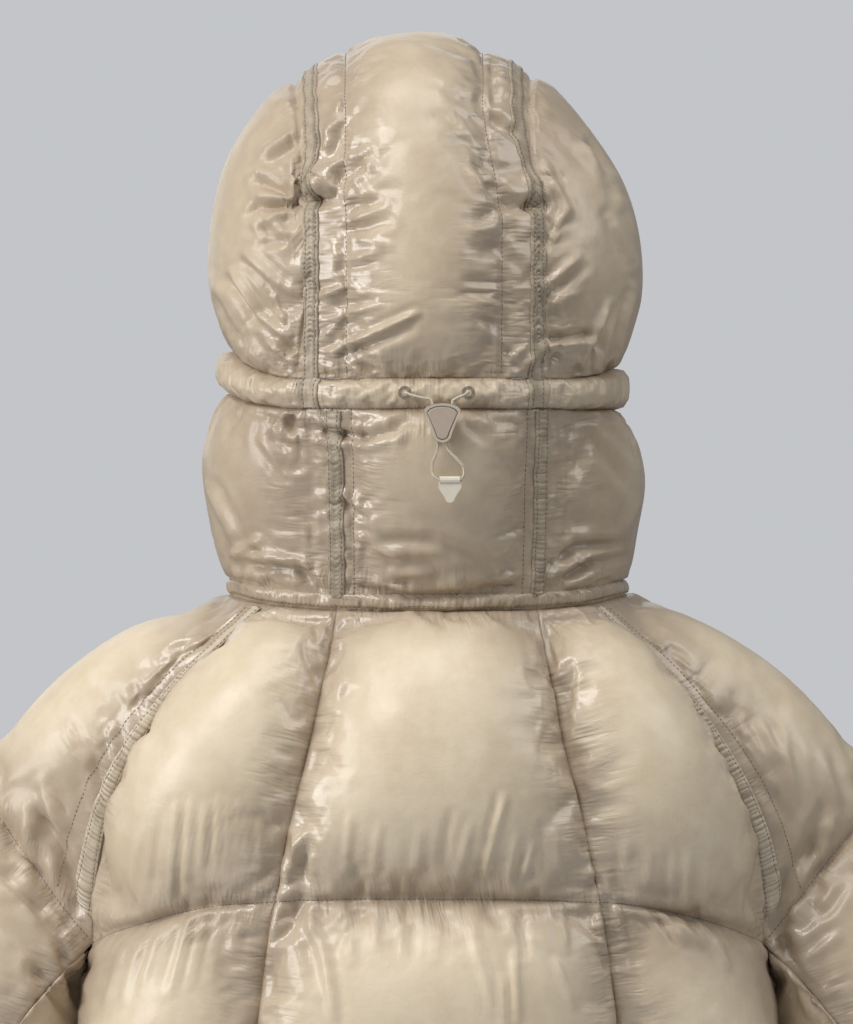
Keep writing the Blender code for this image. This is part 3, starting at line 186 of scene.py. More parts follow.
def cord_route():
    left = [
        (EYELET_X[1], EYELET_Y + 0.2, TUNNEL_Z + 0.3),
        (EYELET_X[1] - 0.6, EYELET_Y + 3.6, TUNNEL_Z - 0.1),
        (EYELET_X[1] - 5.0, LOCK_Y - 0.2, TUNNEL_Z - 1.8),
        (EYELET_X[1] - 11.5, LOCK_Y, TUNNEL_Z - 3.4),
        *channel_points(1),
        (LOCK_X + CHANNEL_FOOT + 1.6, LOCK_Y, LOCK_FOOT - 9.0),
        (TAB_X + TAB_HALF + 4.6, TAB_Y, TAB_Z + 10.5),
        (TAB_X + TAB_HALF + 3.6, TAB_Y, TAB_Z + 2.6),
        (TAB_X + TAB_HALF + 0.6, TAB_Y, TAB_Z + 0.1),
        (TAB_X + 2.0, TAB_Y, TAB_Z),
    ]
    right = [
        (EYELET_X[-1], EYELET_Y + 0.2, TUNNEL_Z + 0.3),
        (EYELET_X[-1] + 0.4, EYELET_Y + 3.6, TUNNEL_Z - 0.1),
        (EYELET_X[-1] + 3.2, LOCK_Y - 0.2, TUNNEL_Z - 1.8),
        (EYELET_X[-1] + 7.4, LOCK_Y, TUNNEL_Z - 3.6),
        *channel_points(-1),
        (LOCK_X - CHANNEL_FOOT - 1.6, LOCK_Y, LOCK_FOOT - 5.4),
        (LOCK_X - CHANNEL_FOOT - 6.2, LOCK_Y, LOCK_FOOT - 10.4),
        (TAB_X - TAB_HALF - 2.2, TAB_Y, TAB_Z + 8.0),
        (TAB_X - TAB_HALF - 2.2, TAB_Y, TAB_Z + 2.4),
        (TAB_X - TAB_HALF - 0.6, TAB_Y, TAB_Z + 0.1),
        (TAB_X - 2.0, TAB_Y, TAB_Z),
    ]
    return left + right[::-1]


def smooth_route(points, spacing):
    """Evenly spaced points, in metres, on a smooth curve through the given ones in millimetres."""
    points = np.array(points, dtype=float)
    reach = distances(points)
    curve = Table("station x y z", [(r, *p) for r, p in zip(reach, points)])
    count = int(round(reach[-1] / spacing))
    stations = np.linspace(0, reach[-1], count + 1)
    return np.array([[curve.at(r)[axis] for axis in "xyz"] for r in stations]) * MM


def mesh_object(name, vertices, faces, uvs=None):
    """A smoothly shaded mesh object, with one UV pair for each vertex if they are given."""
    mesh = bpy.data.meshes.new(name)
    mesh.from_pydata([tuple(v) for v in vertices], [], faces)
    if uvs is not None:
        loops = np.zeros(len(mesh.loops), dtype=np.int64)
        mesh.loops.foreach_get("vertex_index", loops)
        layer = mesh.uv_layers.new(name="cloth")
        layer.uv.foreach_set("vector", np.asarray(uvs, dtype=np.float32)[loops].ravel())
    mesh.polygons.foreach_set("use_smooth", [True] * len(mesh.polygons))
    mesh.update()
    made = bpy.data.objects.new(name, mesh)
    bpy.context.scene.collection.objects.link(made)
    return made


def tube_faces(count, sides):
    """The faces of a closed tube whose points go round it, ring after ring."""
    faces = []
    for ring in range(0, (count - 1) * sides, sides):
        for k in range(sides):
            after = (k + 1) % sides
            faces.append((ring + k, ring + after, ring + sides + after, ring + sides + k))
    last = (count - 1) * sides
    return faces + [tuple(range(sides - 1, -1, -1)), tuple(range(last, last + sides))]


def tube(name, path, radius, sides=12):
    """A round tube with closed ends, turned as little as possible on its way."""
    path = np.asarray(path)
    tangents = units(np.gradient(path, axis=0))
    across = unit(np.cross(tangents[0], (0.3, 0.2, 1.0)))
    vertices, uvs = [], []
    for point, tangent, length in zip(path, tangents, distances(path)):
        across = unit(across - tangent * (across @ tangent))
        other = np.cross(tangent, across)
        for k in range(sides):
            turn = 2 * math.pi * k / sides
            vertices.append(point + radius * (math.cos(turn) * across + math.sin(turn) * other))
            uvs.append((length, k / sides))
    return mesh_object(name, vertices, tube_faces(len(path), sides), uvs)


CORD_PATH = smooth_route(cord_route(), 0.8)
drawcord = tube("drawcord_braided", CORD_PATH, CORD_RADIUS * MM)


# %% [markdown]
# ## The cut of the body and sleeves
# Every panel is a patch of one smooth surface, drawn between two seams. The body is a stack of rounded
# rings, widest at the sides. Station 0 is the neck seam, 1, 2 and 3 are the quilting lines, and 4 is the hem.
# The sleeve is two half rings hung between its back seam, its front seam and its outer and inner lines.

# %% Sizes of the body and sleeves
BODY_ROUND = 2.4  # exponent of the body's rings
SIDE_Y = -8.0  # where the sides of the body lie
BACK_SEAM_SHIFT = -6.0  # the worn back sits this far towards the wearer's right
ZIP_EDGE = 17.0  # front edges stop here, beside the zip tapes
UNDERARM = 1.12  # station where both raglan seams meet the side seam
HEM = 4.0
NECK_BEND = 0.34  # stations over which the outer sleeve bends onto the neck seam
WALL = 3.0  # thickness of a solid's wall
PIT_BEND = 0.34  # stations over which the under sleeve rounds out below the armhole
CLEAR_START, CLEAR_RUN = 1.3, 0.6  # and over which it comes back to its own line
PIT_DROP = 6.0  # how far the under sleeve's upper corners drop below the armhole's
RAGLAN_FLAT = 0.1  # flat margin beside a raglan seam, as a share of the outer sleeve's width

BODY = Table(
    "station z_back z_side z_front half_width back_y front_y raglan_back raglan_front",
    (
        (0.00, -3, 6, -60, 132, 95, -112, 105, 100),
        (0.25, -45, -40, -88, 170, 118, -126, 150, 142),
        (0.50, -92, -88, -120, 202, 131, -138, 183, 174),
        (0.75, -140, -146, -155, 224, 137, -147, 210, 201),
        (0.88, -165, -188, -175, 229, 138, -150, 219, 213),
        (1.00, -188, -228, -195, 230, 137, -151, 222, 219),
        (1.12, -206, -252, -214, 230, 137, -152, 230, 230),
        (2.00, -345, -372, -345, 228, 138, -152, 228, 228),
        (3.00, -505, -520, -505, 232, 140, -150, 232, 232),
        (4.00, -672, -672, -672, 234, 142, -148, 234, 234),
    ),
)

# Half the width between the princess seams
PRINCESS = Table(
    "station half",
    (
        (0.0, 65),
        (0.25, 73),
        (0.5, 83),
        (0.75, 95),
        (1.0, 105),
        (1.5, 116),
        (2.0, 118),
        (3.0, 118),
        (4.0, 118),
    ),
)

# The line down the outside of the sleeve
OUTER_ARM = Table(
    "station x y z",
    (
        (0.00, 132, -8, 6),
        (0.34, 186, -10, -38),
        (0.66, 240, -11, -75),
        (1.00, 303, -11, -124),
        (2.00, 394, -10, -285),
        (3.00, 404, -22, -430),
        (4.00, 398, -48, -555),
        (5.00, 366, -64, -662),
    ),
)

ARM_COLUMNS = "station back_x back_y back_z front_x front_y front_z inner_x inner_y inner_z"
ARM_ROWS = (
    (1.34, 254, 57, -256, 251, -75, -260, 248, -8, -288),
    (2.0, 304, 64, -338, 300, -82, -342, 256, -8, -366),
    (3.0, 322, 56, -458, 314, -94, -466, 266, -20, -482),
    (4.0, 326, 30, -568, 314, -112, -580, 268, -46, -592),
    (5.0, 320, -20, -660, 316, -110, -672, 274, -68, -674),
)


# %% The body's surface


def body_point(angle, station):
    """A point at seam level. The angle is 0 at the back, a quarter turn at the side, a half turn in front."""
    row = BODY.at(station)
    back = math.cos(angle) > 0
    reach = row["back_y"] if back else row["front_y"]
    level = row["z_back"] if back else row["z_front"]
    across = signed_power(math.sin(angle), 2 / BODY_ROUND)
    along = abs(math.cos(angle)) ** (2 / BODY_ROUND)
    dip = abs(math.sin(angle)) ** 3
    return np.array(
        [
            row["half_width"] * across,
            SIDE_Y + (reach - SIDE_Y) * along,
            level + (row["z_side"] - level) * dip,
        ]
    )


def body_angle(x, station, front=False):
    ratio = min(abs(x) / BODY.at(station)["half_width"], 1.0)
    angle = math.asin(ratio ** (BODY_ROUND / 2))
    angle = math.pi - angle if front else angle
    return math.copysign(angle, x)


def princess_angle(station, side):
    return body_angle(BACK_SEAM_SHIFT + side * PRINCESS.at(station)["half"], station)


def raglan_angle(station, front=False):
    """Where the armhole seam crosses a station, on the wearer's left."""
    if station >= UNDERARM:
        return math.pi / 2
    column = "raglan_front" if front else "raglan_back"
    return body_angle(BODY.at(station)[column], station, front)


def raglan_point(station, front=False):
    return body_point(raglan_angle(station, front), station)


# %% The sleeve's surface


def arm_table():
    row = (1.0, *raglan_point(1.0), *raglan_point(1.0, True), *raglan_point(UNDERARM))
    return Table(ARM_COLUMNS, (row,) + ARM_ROWS)


ARM = arm_table()


def arm_points(station):
    """The back seam, front seam and inner line of the sleeve at a station."""
    if station < 1:
        return raglan_point(max(station, 0.0)), raglan_point(max(station, 0.0), True), None
    row = ARM.at(station)
    return tuple(np.array([row[f"{name}_{axis}"] for axis in "xyz"]) for name in ("back", "front", "inner"))


def half_ring(back, front, far, share):
    middle = (back + front) / 2
    turn = math.pi * share
    return middle + (back - middle) * math.cos(turn) + (far - middle) * math.sin(turn)


def outer_half_ring(share, station):
    back, front, _ = arm_points(station)
    row = OUTER_ARM.at(station)
    return half_ring(back, front, np.array([row["x"], row["y"], row["z"]]), share)


def sleeve_outer_point(share, station):
    """The outer sleeve, whose upper end is bent to lie on the body's neck seam."""
    point = outer_half_ring(share, station)
    near_neck = 1 - smooth(station / NECK_BEND)
    if near_neck > 0:
        drawn = outer_half_ring(share, 0.0)
        neck = body_point(lerp(raglan_angle(0.0), raglan_angle(0.0, True), share), 0.0)
        point = point + (neck - drawn) * near_neck
    return point


def normal_at(surface, share, row, inside):
    """The outward direction of a surface, worked out from points close by."""
    near = 1e-3
    across = surface(share + near, row) - surface(share - near, row)
    along = surface(share, row + near) - surface(share, row - near)
    normal = unit(np.cross(across, along))
    return normal if normal @ (surface(share, row) - inside) > 0 else -normal


def body_normal(angle, station):
    level = np.array([0.0, SIDE_Y, body_point(angle, station)[2] - 60])
    return normal_at(body_point, angle, station, level)


def pit_direction(share):
    """Outward from the body along the bottom of the armhole, from the back seam to the front seam."""
    if share < 0.5:
        part = 2 * share
        return body_normal(lerp(raglan_angle(1.0), math.pi / 2, part), lerp(1.0, UNDERARM, part))
    part = 2 * share - 1
    return body_normal(lerp(math.pi / 2, raglan_angle(1.0, True), part), lerp(UNDERARM, 1.0, part))


def sleeve_under_point(share, station):
    """The under sleeve hangs beside the body, a wall's thickness out from the bottom of the armhole."""
    back, front, inner = arm_points(max(station, 1.0))
    point = half_ring(back, front, inner, share)
    near_pit = 1 - smooth((station - 1) / PIT_BEND)
    if near_pit > 0:
        back, front, inner = arm_points(1.0)
        straight = lerp(back, inner, 2 * share) if share < 0.5 else lerp(inner, front, 2 * share - 1)
        point = point + (straight - half_ring(back, front, inner, share)) * near_pit
    coming_back = smooth((station - CLEAR_START) / CLEAR_RUN)
    clear = 1.0 if station <= 1 else math.sin(math.pi * share) * (1 - coming_back)
    point = point + pit_direction(share) * (WALL + 1.0) * clear
    if station <= 1:
        point = point - np.array([0.0, 0.0, PIT_DROP]) * abs(math.cos(math.pi * share)) ** 3
    return point


# %% [markdown]
# ## The cut of the hood
# The upper hood is a rounded dome, cut into a crown strip and two side panels. Below it the drawcord tunnel
# runs level round the nape, and the lower hood drops from the tunnel to the neck seam.

# %% Sizes of the hood
DOME_MIDDLE = np.array([0.0, 5.0, 200.0])
DOME_BACK = np.array([128.0, 130.0, 169.0])
DOME_FRONT = np.array([128.0, 166.0, 169.0])
DOME_ROUND = 2.3
BRIM_TURN = math.radians(140)
FACE_ANGLE = math.radians(130)
CROWN_SEAM = {1: 75.0, -1: -70.5}
CROWN_FLAT = 0.155  # flat margin between crown seam and topstitching, as a share of the crown's width
TAPE_HALF = 6.5

# The drawcord tunnel, the lower hood and the bands
TUNNEL_HALF_BACK = 9.8
TUNNEL_HALF_SIDE = 14.0
TUNNEL_RISE = {1: 17.0, -1: 5.0}
TUNNEL_LEVEL_ANGLE = 0.65
LOWER_SEAM_TOP = {1: 61.0, -1: -75.0}
CHIN = np.array([ZIP_EDGE, -150.0, 72.0])
CHEEK_SHARE = 0.66  # share of a lower side piece that runs under the tunnel
BINDING_WIDTH = 11.0
BINDING_HALF = 2.2
BAND_HEIGHT = 22.0
LOW_ROWS = 4
HIGH_ROWS = 8
LOW_RISE_Z = 208.0
TUNNEL_TOP_BACK = TUNNEL_Z + TUNNEL_HALF_BACK


# %% The hood's surface


def on_dome(point):
    """The point of the dome straight out from its middle through this one."""
    out = point - DOME_MIDDLE
    size = DOME_BACK if out[1] > 0 else DOME_FRONT
    return DOME_MIDDLE + out / (np.abs(out / size) ** DOME_ROUND).sum() ** (1 / DOME_ROUND)


def shrink(offset):
    """How much smaller a section of the dome is, this share of the way out from its middle."""
    return (1 - abs(offset) ** DOME_ROUND) ** (1 / DOME_ROUND)


def dome_level(angle, z):
    """A point on the level section of the dome at height z."""
    size = DOME_BACK if math.cos(angle) > 0 else DOME_FRONT
    scale = shrink((z - DOME_MIDDLE[2]) / size[2])
    x = size[0] * scale * signed_power(math.sin(angle), 2 / DOME_ROUND)
    y = DOME_MIDDLE[1] + size[1] * scale * signed_power(math.cos(angle), 2 / DOME_ROUND)
    return np.array([x, y, z])


def level_angle(x, z):
    size = DOME_BACK[0] * shrink((z - DOME_MIDDLE[2]) / DOME_BACK[2])
    return math.copysign(math.asin((abs(x) / size) ** (DOME_ROUND / 2)), x)


def dome_arch(x, turn):
    """A point on the upright section of the dome at x. The turn is 0 backwards and a quarter turn upwards."""
    size = DOME_BACK if math.cos(turn) > 0 else DOME_FRONT
    scale = shrink(x / size[0])
    scale /= (abs(math.cos(turn)) ** DOME_ROUND + abs(math.sin(turn)) ** DOME_ROUND) ** (1 / DOME_ROUND)
    y = DOME_MIDDLE[1] + size[1] * scale * math.cos(turn)
    z = DOME_MIDDLE[2] + size[2] * scale * math.sin(turn)
    return np.array([x, y, z])


def arch_turn(x, z):
    """The turn at which the upright section at x reaches height z, at the back."""
    height = (z - DOME_MIDDLE[2]) / (DOME_BACK[2] * shrink(x / DOME_BACK[0]))
    return math.atan2(height, shrink(height))


def tunnel_edges(angle):
    rise = smooth((abs(angle) - TUNNEL_LEVEL_ANGLE) / (math.pi / 2 - TUNNEL_LEVEL_ANGLE))
    middle = TUNNEL_Z + rise * TUNNEL_RISE[1 if angle > 0 else -1]
    half = lerp(TUNNEL_HALF_BACK, TUNNEL_HALF_SIDE, rise)
    return middle - half, middle + half


def tunnel_point(angle, share):
    foot, top = tunnel_edges(angle)
    point = dome_level(angle, top)
    return np.array([point[0], point[1], lerp(foot, top, share)])


def arch_turns(x):
    low = np.linspace(arch_turn(x, TUNNEL_TOP_BACK), arch_turn(x, LOW_RISE_Z), LOW_ROWS + 1)
    high = np.linspace(low[-1], BRIM_TURN, HIGH_ROWS + 1)
    return list(low) + list(high[1:])


def crown_point(share, row):
    """Rows count up the crown from the tunnel to the brim, and share runs from the right seam to the left."""
    x = lerp(CROWN_SEAM[-1], CROWN_SEAM[1], share)
    turns = arch_turns(x)
    return dome_arch(x, np.interp(row, range(len(turns)), turns))


def hood_side_surface(side):
    seam = CROWN_SEAM[side]
    turns = arch_turns(seam)
    start = level_angle(seam, TUNNEL_TOP_BACK)

    def point(share, rise):
        angle = lerp(start, side * FACE_ANGLE, share)
        foot = dome_level(angle, tunnel_edges(angle)[1])
        row = LOW_ROWS + HIGH_ROWS * share
        top = dome_arch(seam, np.interp(row, range(len(turns)), turns))
        if share == 0:
            return dome_arch(seam, np.interp(LOW_ROWS * rise, range(len(turns)), turns))
        return on_dome(lerp(foot, top, rise))

    return point


def lower_centre_point(share, rise):
    foot = body_point(lerp(princess_angle(0, -1), princess_angle(0, 1), share), 0.0)
    right = level_angle(LOWER_SEAM_TOP[-1], TUNNEL_TOP_BACK)
    left = level_angle(LOWER_SEAM_TOP[1], TUNNEL_TOP_BACK)
    return lerp(foot, tunnel_point(lerp(right, left, share), 0), rise)


def zip_angle(station):
    return body_angle(ZIP_EDGE, station, True)


def lower_side_surface(side):
    start = level_angle(LOWER_SEAM_TOP[side], TUNNEL_TOP_BACK)
    foot_start = princess_angle(0, side)

    def point(share, rise):
        foot = body_point(lerp(foot_start, side * zip_angle(0.0), share), 0.0)
        if share <= CHEEK_SHARE:
            top = tunnel_point(lerp(start, side * FACE_ANGLE, share / CHEEK_SHARE), 0)
        else:
            cheek = tunnel_point(side * FACE_ANGLE, 0)
            turn = math.pi / 2 * (share - CHEEK_SHARE) / (1 - CHEEK_SHARE)
            top = np.array(
                [
                    lerp(side * CHIN[0], cheek[0], math.cos(turn)),
                    lerp(cheek[1], CHIN[1], math.sin(turn)),
                    lerp(cheek[2], CHIN[2], math.sin(turn)),
                ]
            )
        return lerp(foot, top, rise)

    return point


def front_line(x, station):
    """A line down the front at x: below zero the station climbs from the neck seam to the chin."""
    if station >= 0:
        return body_point(body_angle(x, station, True), station)
    foot = body_point(body_angle(x, 0.0, True), 0.0)
    return lerp(foot, np.array([x, CHIN[1], CHIN[2]]), -station)


# %% [markdown]
# ## Noise for cloth
# Cloth is never even. One small table of seeded random numbers, read with a smooth blend between its cells,
# gives a soft noise that is the same on every run and quick on whole grids at once.

# %% Soft noise
LATTICE = 64


def soft_noise(x, y, seed):
    """Smooth noise from -1 to 1 at each pair of coordinates, one cell of noise for each unit."""
    table = np.random.default_rng(seed).uniform(-1, 1, (LATTICE, LATTICE))
    x, y = np.broadcast_arrays(np.asarray(x, dtype=float), np.asarray(y, dtype=float))
    i, j = np.floor(x).astype(int), np.floor(y).astype(int)
    s, t = x - i, y - j
    s, t = s * s * (3 - 2 * s), t * t * (3 - 2 * t)
    i0, i1, j0, j1 = i % LATTICE, (i + 1) % LATTICE, j % LATTICE, (j + 1) % LATTICE
    return lerp(lerp(table[i0, j0], table[i1, j0], s), lerp(table[i0, j1], table[i1, j1], s), t)


# %% How the cut lies once worn
WOBBLE, WOBBLE_SIZE = 1.0, 38.0  # how far seams stray, and over what length
WOBBLE_SEED = 5
noise.seed_set(WOBBLE_SEED)
CROWN_LEAN, CHEEK_LEAN = 7.0, 2.5
CROWN_NARROWED = 0.15
SEAM_RAISES = (13.0, 12.0)  # how far the crown seams stand up, left and right
SHOULDER_LIFTS = (8.0, 1.5)  # left and right


def shoulder_share(points):
    """1 at the top of the shoulders, 0 at the neck and below the arms."""
    height, width = points[..., 2], np.abs(points[..., 0])
    return soft_step((width - 130) / 70) * soft_step((height + 200) / 90) * (1 - soft_step(height / 20))


def worn(points):
    """Where the cut lies once worn: the hood leans a little to the wearer's left, and seams pull unevenly."""
    flat = points.reshape(-1, 3)
    moved = np.array([WOBBLE * noise.noise_vector(Vector(p) / WOBBLE_SIZE) for p in flat])
    height, width, left = flat[:, 2], np.abs(flat[:, 0]), flat[:, 0] > 0
    lean = CROWN_LEAN * soft_step((height - 240) / 90)
    lean = lean + CHEEK_LEAN * soft_step((width - 60) / 60) * soft_step(height / 40)
    narrow = CROWN_NARROWED * soft_step((height - 265) / 60) * (1 - soft_step((width - 78) / 50))
    moved[:, 0] += lean - narrow * flat[:, 0]
    seam = np.where(left, *SEAM_RAISES) * np.exp(-(((width - 78) / 38) ** 2))
    seam = seam * soft_step((height - 275) / 60)
    moved += units(flat - DOME_MIDDLE) * seam[:, None]
    moved[:, 2] += np.where(left, *SHOULDER_LIFTS) * shoulder_share(flat)
    return (flat + moved).reshape(points.shape)


# %% [markdown]
# ## A padded panel
# A down panel is two layers of nylon sewn together round the edge and along the quilting lines, with down
# blown in between. Here each panel starts as a fine grid at seam level. It is lifted a little where it is
# padded, and then Blender's Cloth blows it up: seams and quilting are held, the cloth between them is cut a
# little too big, and air pressure presses it out. The spare cloth has to go somewhere, so it makes the real
# puckers and soft folds by itself.

# %% The grid of a panel
FULL_POWER = 0.7  # below 1 makes a panel's section rounder than a sine
START = 0.8  # share of its puff that a panel has before it is blown up
SEAM_HALF = 0.7  # half the thickness of the cloth at a seam


def fill(share, start=0.0, end=0.0):
    """How full a piece is at a share of its way across: none at its margins, 1 in the middle."""
    inside = (share - start) / (1 - start - end)
    if inside <= 1e-6 or inside >= 1 - 1e-6:
        return 0.0
    return math.sin(math.pi * inside) ** FULL_POWER


def between_quilts(station):
    return fill(station - math.floor(station + 1e-9))


def shares_of(length, cell, margins=()):
    """Even steps of about one cell from 0 to 1 that also land on the given margins."""
    stops = [0.0, *margins, 1.0]
    shares = [0.0]
    for first, last in zip(stops, stops[1:]):
        count = max(2, int(round((last - first) * length / cell)))
        shares += list(np.linspace(first, last, count + 1)[1:])
    return np.array(shares)


def grid_normals(points, inside):
    """Outward directions of a grid, from its own slopes."""
    across = np.gradient(points, axis=1)
    along = np.gradient(points, axis=0)
    normals = units(np.cross(across, along))
    facing = ((points - inside) * normals).sum(-1)
    return normals * (1 if np.median(facing) > 0 else -1)


def on_marks(values, marks):
    """Which of the values lie on a mark."""
    return np.min(np.abs(np.subtract.outer(values, marks)), axis=1) < 1e-6


class Panel:
    """A sewn piece: seam-level points in rows and columns, its padding and what is held by stitches."""

    def __init__(
        self, name, surface, columns, rows, inside, fullness, puff, held_columns=(0, 1), held_rows=()
    ):
        self.name = name
        self.columns, self.rows = np.asarray(columns), np.asarray(rows)
        self.points = worn(np.array([[surface(u, v) for u in self.columns] for v in self.rows]))
        self.normals = grid_normals(self.points, inside)
        self.full = np.array([[fullness(u, v) for u in self.columns] for v in self.rows])
        self.puff, self.inner_puff = puff
        self.held_columns = on_marks(self.columns, [self.columns[0], self.columns[-1], *held_columns])
        self.held_rows = on_marks(self.rows, [self.rows[0], self.rows[-1], *held_rows])
        self.held = self.held_rows[:, None] | self.held_columns[None, :]
        self.start = self.points + self.normals * (SEAM_HALF + START * self.puff * self.full)[..., None]

    def mirrored(self, name):
        """The same piece on the other side of the wearer, with its own random wrinkles."""
        other = object.__new__(Panel)
        other.__dict__.update(self.__dict__)
        flip = np.array([-1.0, 1.0, 1.0])
        other.name = name
        other.points, other.normals, other.start = self.points * flip, self.normals * flip, self.start * flip
        drop = (SHOULDER_LIFTS[1] - SHOULDER_LIFTS[0]) * shoulder_share(self.points)[..., None] * (0, 0, 1)
        other.points, other.start = other.points + drop, other.start + drop
        return other


# %% [markdown]
# ## Blowing the panels up
# All panels are simulated side by side for a few frames, without gravity, because down holds its loft
# against its own small weight. Each panel is one cloth. A pinned vertex group holds its seams and quilting,
# and a little unevenness in the start keeps the folds from coming out alike.

# %% The cloth simulation
FRAMES = 16
JITTER, JITTER_CELLS = 0.6, 5.0
MOVE_CAP = 16.0  # no point may be blown further than this
CLOTH = {
    "quality": 4,
    "mass": 0.00035,
    "air_damping": 2.0,
    "tension_stiffness": 12.0,
    "compression_stiffness": 12.0,
    "shear_stiffness": 3.0,
    "bending_stiffness": 0.02,
    "tension_damping": 3.0,
    "compression_damping": 3.0,
    "use_pressure": True,
    "uniform_pressure_force": 9.0,
    "vertex_group_mass": "held",
    "pin_stiffness": 1.0,
    "shrink_min": -0.035,
}


def grid_faces(rows, columns, flipped=False):
    quads = []
    for i in range(rows - 1):
        for first in range(i * columns, (i + 1) * columns - 1):
            above = first + columns
            quad = (first, first + 1, above + 1, above)
            quads.append((first, above, above + 1, first + 1) if flipped else quad)
    return quads


def faces_out(points, normals):
    """Whether a grid's faces, taken in order, already point along its outward directions."""
    across = points[:, 1:] - points[:, :-1]
    along = points[1:] - points[:-1]
    direction = np.cross(across[:-1], along[:, :-1])
    return (direction * normals[:-1, :-1]).sum(-1).mean() > 0


def add_cloth(panel, seed):
    rows, columns = panel.start.shape[:2]
    cells = np.meshgrid(np.arange(columns) / JITTER_CELLS, np.arange(rows) / JITTER_CELLS)
    jitter = soft_noise(*cells, seed) * JITTER
    start = panel.start + panel.normals * (jitter * ~panel.held)[..., None]
    made = mesh_object(
        "blown_" + panel.name,
        start.reshape(-1, 3) * MM,
        grid_faces(rows, columns, not faces_out(panel.start, panel.normals)),
    )
    group = made.vertex_groups.new(name="held")
    group.add([int(i) for i in np.flatnonzero(panel.held.ravel())], 1.0, "REPLACE")
    modifier = made.modifiers.new("blown up", "CLOTH")
    for key, value in CLOTH.items():
        setattr(modifier.settings, key, value)
    modifier.settings.effector_weights.gravity = 0.0
    modifier.collision_settings.use_collision = False
    modifier.point_cache.frame_start = 1
    modifier.point_cache.frame_end = FRAMES
    return made


def blow_up(panels):
    scene = bpy.context.scene
    cloths = [add_cloth(panel, 11 + number) for number, panel in enumerate(panels)]
    scene.frame_start, scene.frame_end = 1, FRAMES
    for step in range(1, FRAMES + 1):
        scene.frame_set(step)
    graph = bpy.context.evaluated_depsgraph_get()
    for panel, cloth in zip(panels, cloths):
        result = cloth.evaluated_get(graph).data
        places = np.zeros(len(result.vertices) * 3)
        result.vertices.foreach_get("co", places)
        panel.blown = places.reshape(panel.start.shape) / MM
        bpy.data.objects.remove(cloth)
    scene.frame_set(1)


def limited(panel):
    """Keeps each point within the cap from where it started, and off the layer behind it."""
    move = panel.blown - panel.start
    size = np.linalg.norm(move, axis=-1, keepdims=True)
    move *= np.minimum(1.0, MOVE_CAP / np.maximum(size, 1e-9))
    places = panel.start + move
    height = ((places - panel.points) * panel.normals).sum(-1)
    lift = np.maximum(0.0, SEAM_HALF - height)
    return places + panel.normals * lift[..., None]


# %% [markdown]
# ## The panels of the jacket
# Each panel is now one call: its surface, how far apart its points are, its stitched lines and its padding.
# The back and the hood show most, so their grids are the finest.

# %% The body panels
# How far the outer and the inner layer stand out where a panel is fullest.
PUFF = {
    "back": (36, 9),
    "front": (32, 9),
    "sleeve": (21, 8),
    "under": (11, 6),
    "crown": (15, 8),
    "hood_side": (18, 8),
    "tunnel": (8, 2),
    "tunnel_side": (13, 2),
    "lower": (20, 8),
}
BACK_CELL, FRONT_CELL, SLEEVE_CELL, HOOD_CELL = 4.6, 8.0, 5.0, 4.0
BAFFLE = 165.0
LINES = (1.0, 2.0, 3.0)


def stations_of(first, last, cell):
    count = int(round(BAFFLE / cell))
    return np.linspace(first, last, count * (last - first) + 1)


def body_panel(name, edge_a, edge_b, width, cell, puff, end=0.0):
    """A body panel between two seams, each given as an angle for each station, with a flat end margin."""

    def surface(share, station):
        return body_point(lerp(edge_a(station), edge_b(station), share), station)

    def fullness(share, station):
        """Less full at the sides, where the arms rest against the body, most of all under the arms."""
        angle = abs(lerp(edge_a(station), edge_b(station), share))
        sideways = 1 - abs(angle / (math.pi / 2) - 1)
        under_arm = 1 - smooth((station - 1.1) / 0.8) if station > 1 else 0.0
        pressed = smooth((sideways - lerp(0.6, 0.4, under_arm)) / 0.4) * lerp(0.75, 0.97, under_arm)
        return fill(share, 0.0, end) * between_quilts(station) * (1 - pressed)

    rows = stations_of(0, 4, cell)
    middle = np.array([0.0, SIDE_Y, -300.0])
    margins = [1 - end] if end else []
    columns = shares_of(width, cell, margins)
    return Panel(name, surface, columns, rows, middle, fullness, puff, [0, 1, *margins], LINES)


panels = [
    body_panel(
        "back_centre",
        lambda v: princess_angle(v, -1),
        lambda v: princess_angle(v, 1),
        230,
        BACK_CELL,
        PUFF["back"],
    )
]
for name, side in SIDES:
    panels.append(
        body_panel(
            f"back_side_{name}",
            lambda v, side=side: princess_angle(v, side),
            lambda v, side=side: side * raglan_angle(v),
            150,
            BACK_CELL,
            PUFF["back"],
        )
    )
    panels.append(
        body_panel(
            f"front_{name}",
            lambda v, side=side: side * raglan_angle(v, True),
            lambda v, side=side: side * zip_angle(v),
            260,
            FRONT_CELL,
            PUFF["front"],
            end=0.07,
        )
    )
print("body:", [panel.points.shape[:2] for panel in panels])

# %% The sleeve panels
RAGLAN_MARGINS = (RAGLAN_FLAT, 1 - RAGLAN_FLAT)


def sleeve_fullness(share, station):
    """Beside the raglan seams the sleeve is left flat as far down as the armhole."""
    margin = RAGLAN_FLAT * (1 - smooth((station - 0.9) / 0.25))
    return fill(share, margin, margin) * between_quilts(station) * lerp(0.5, 1.0, smooth(station / 0.4))


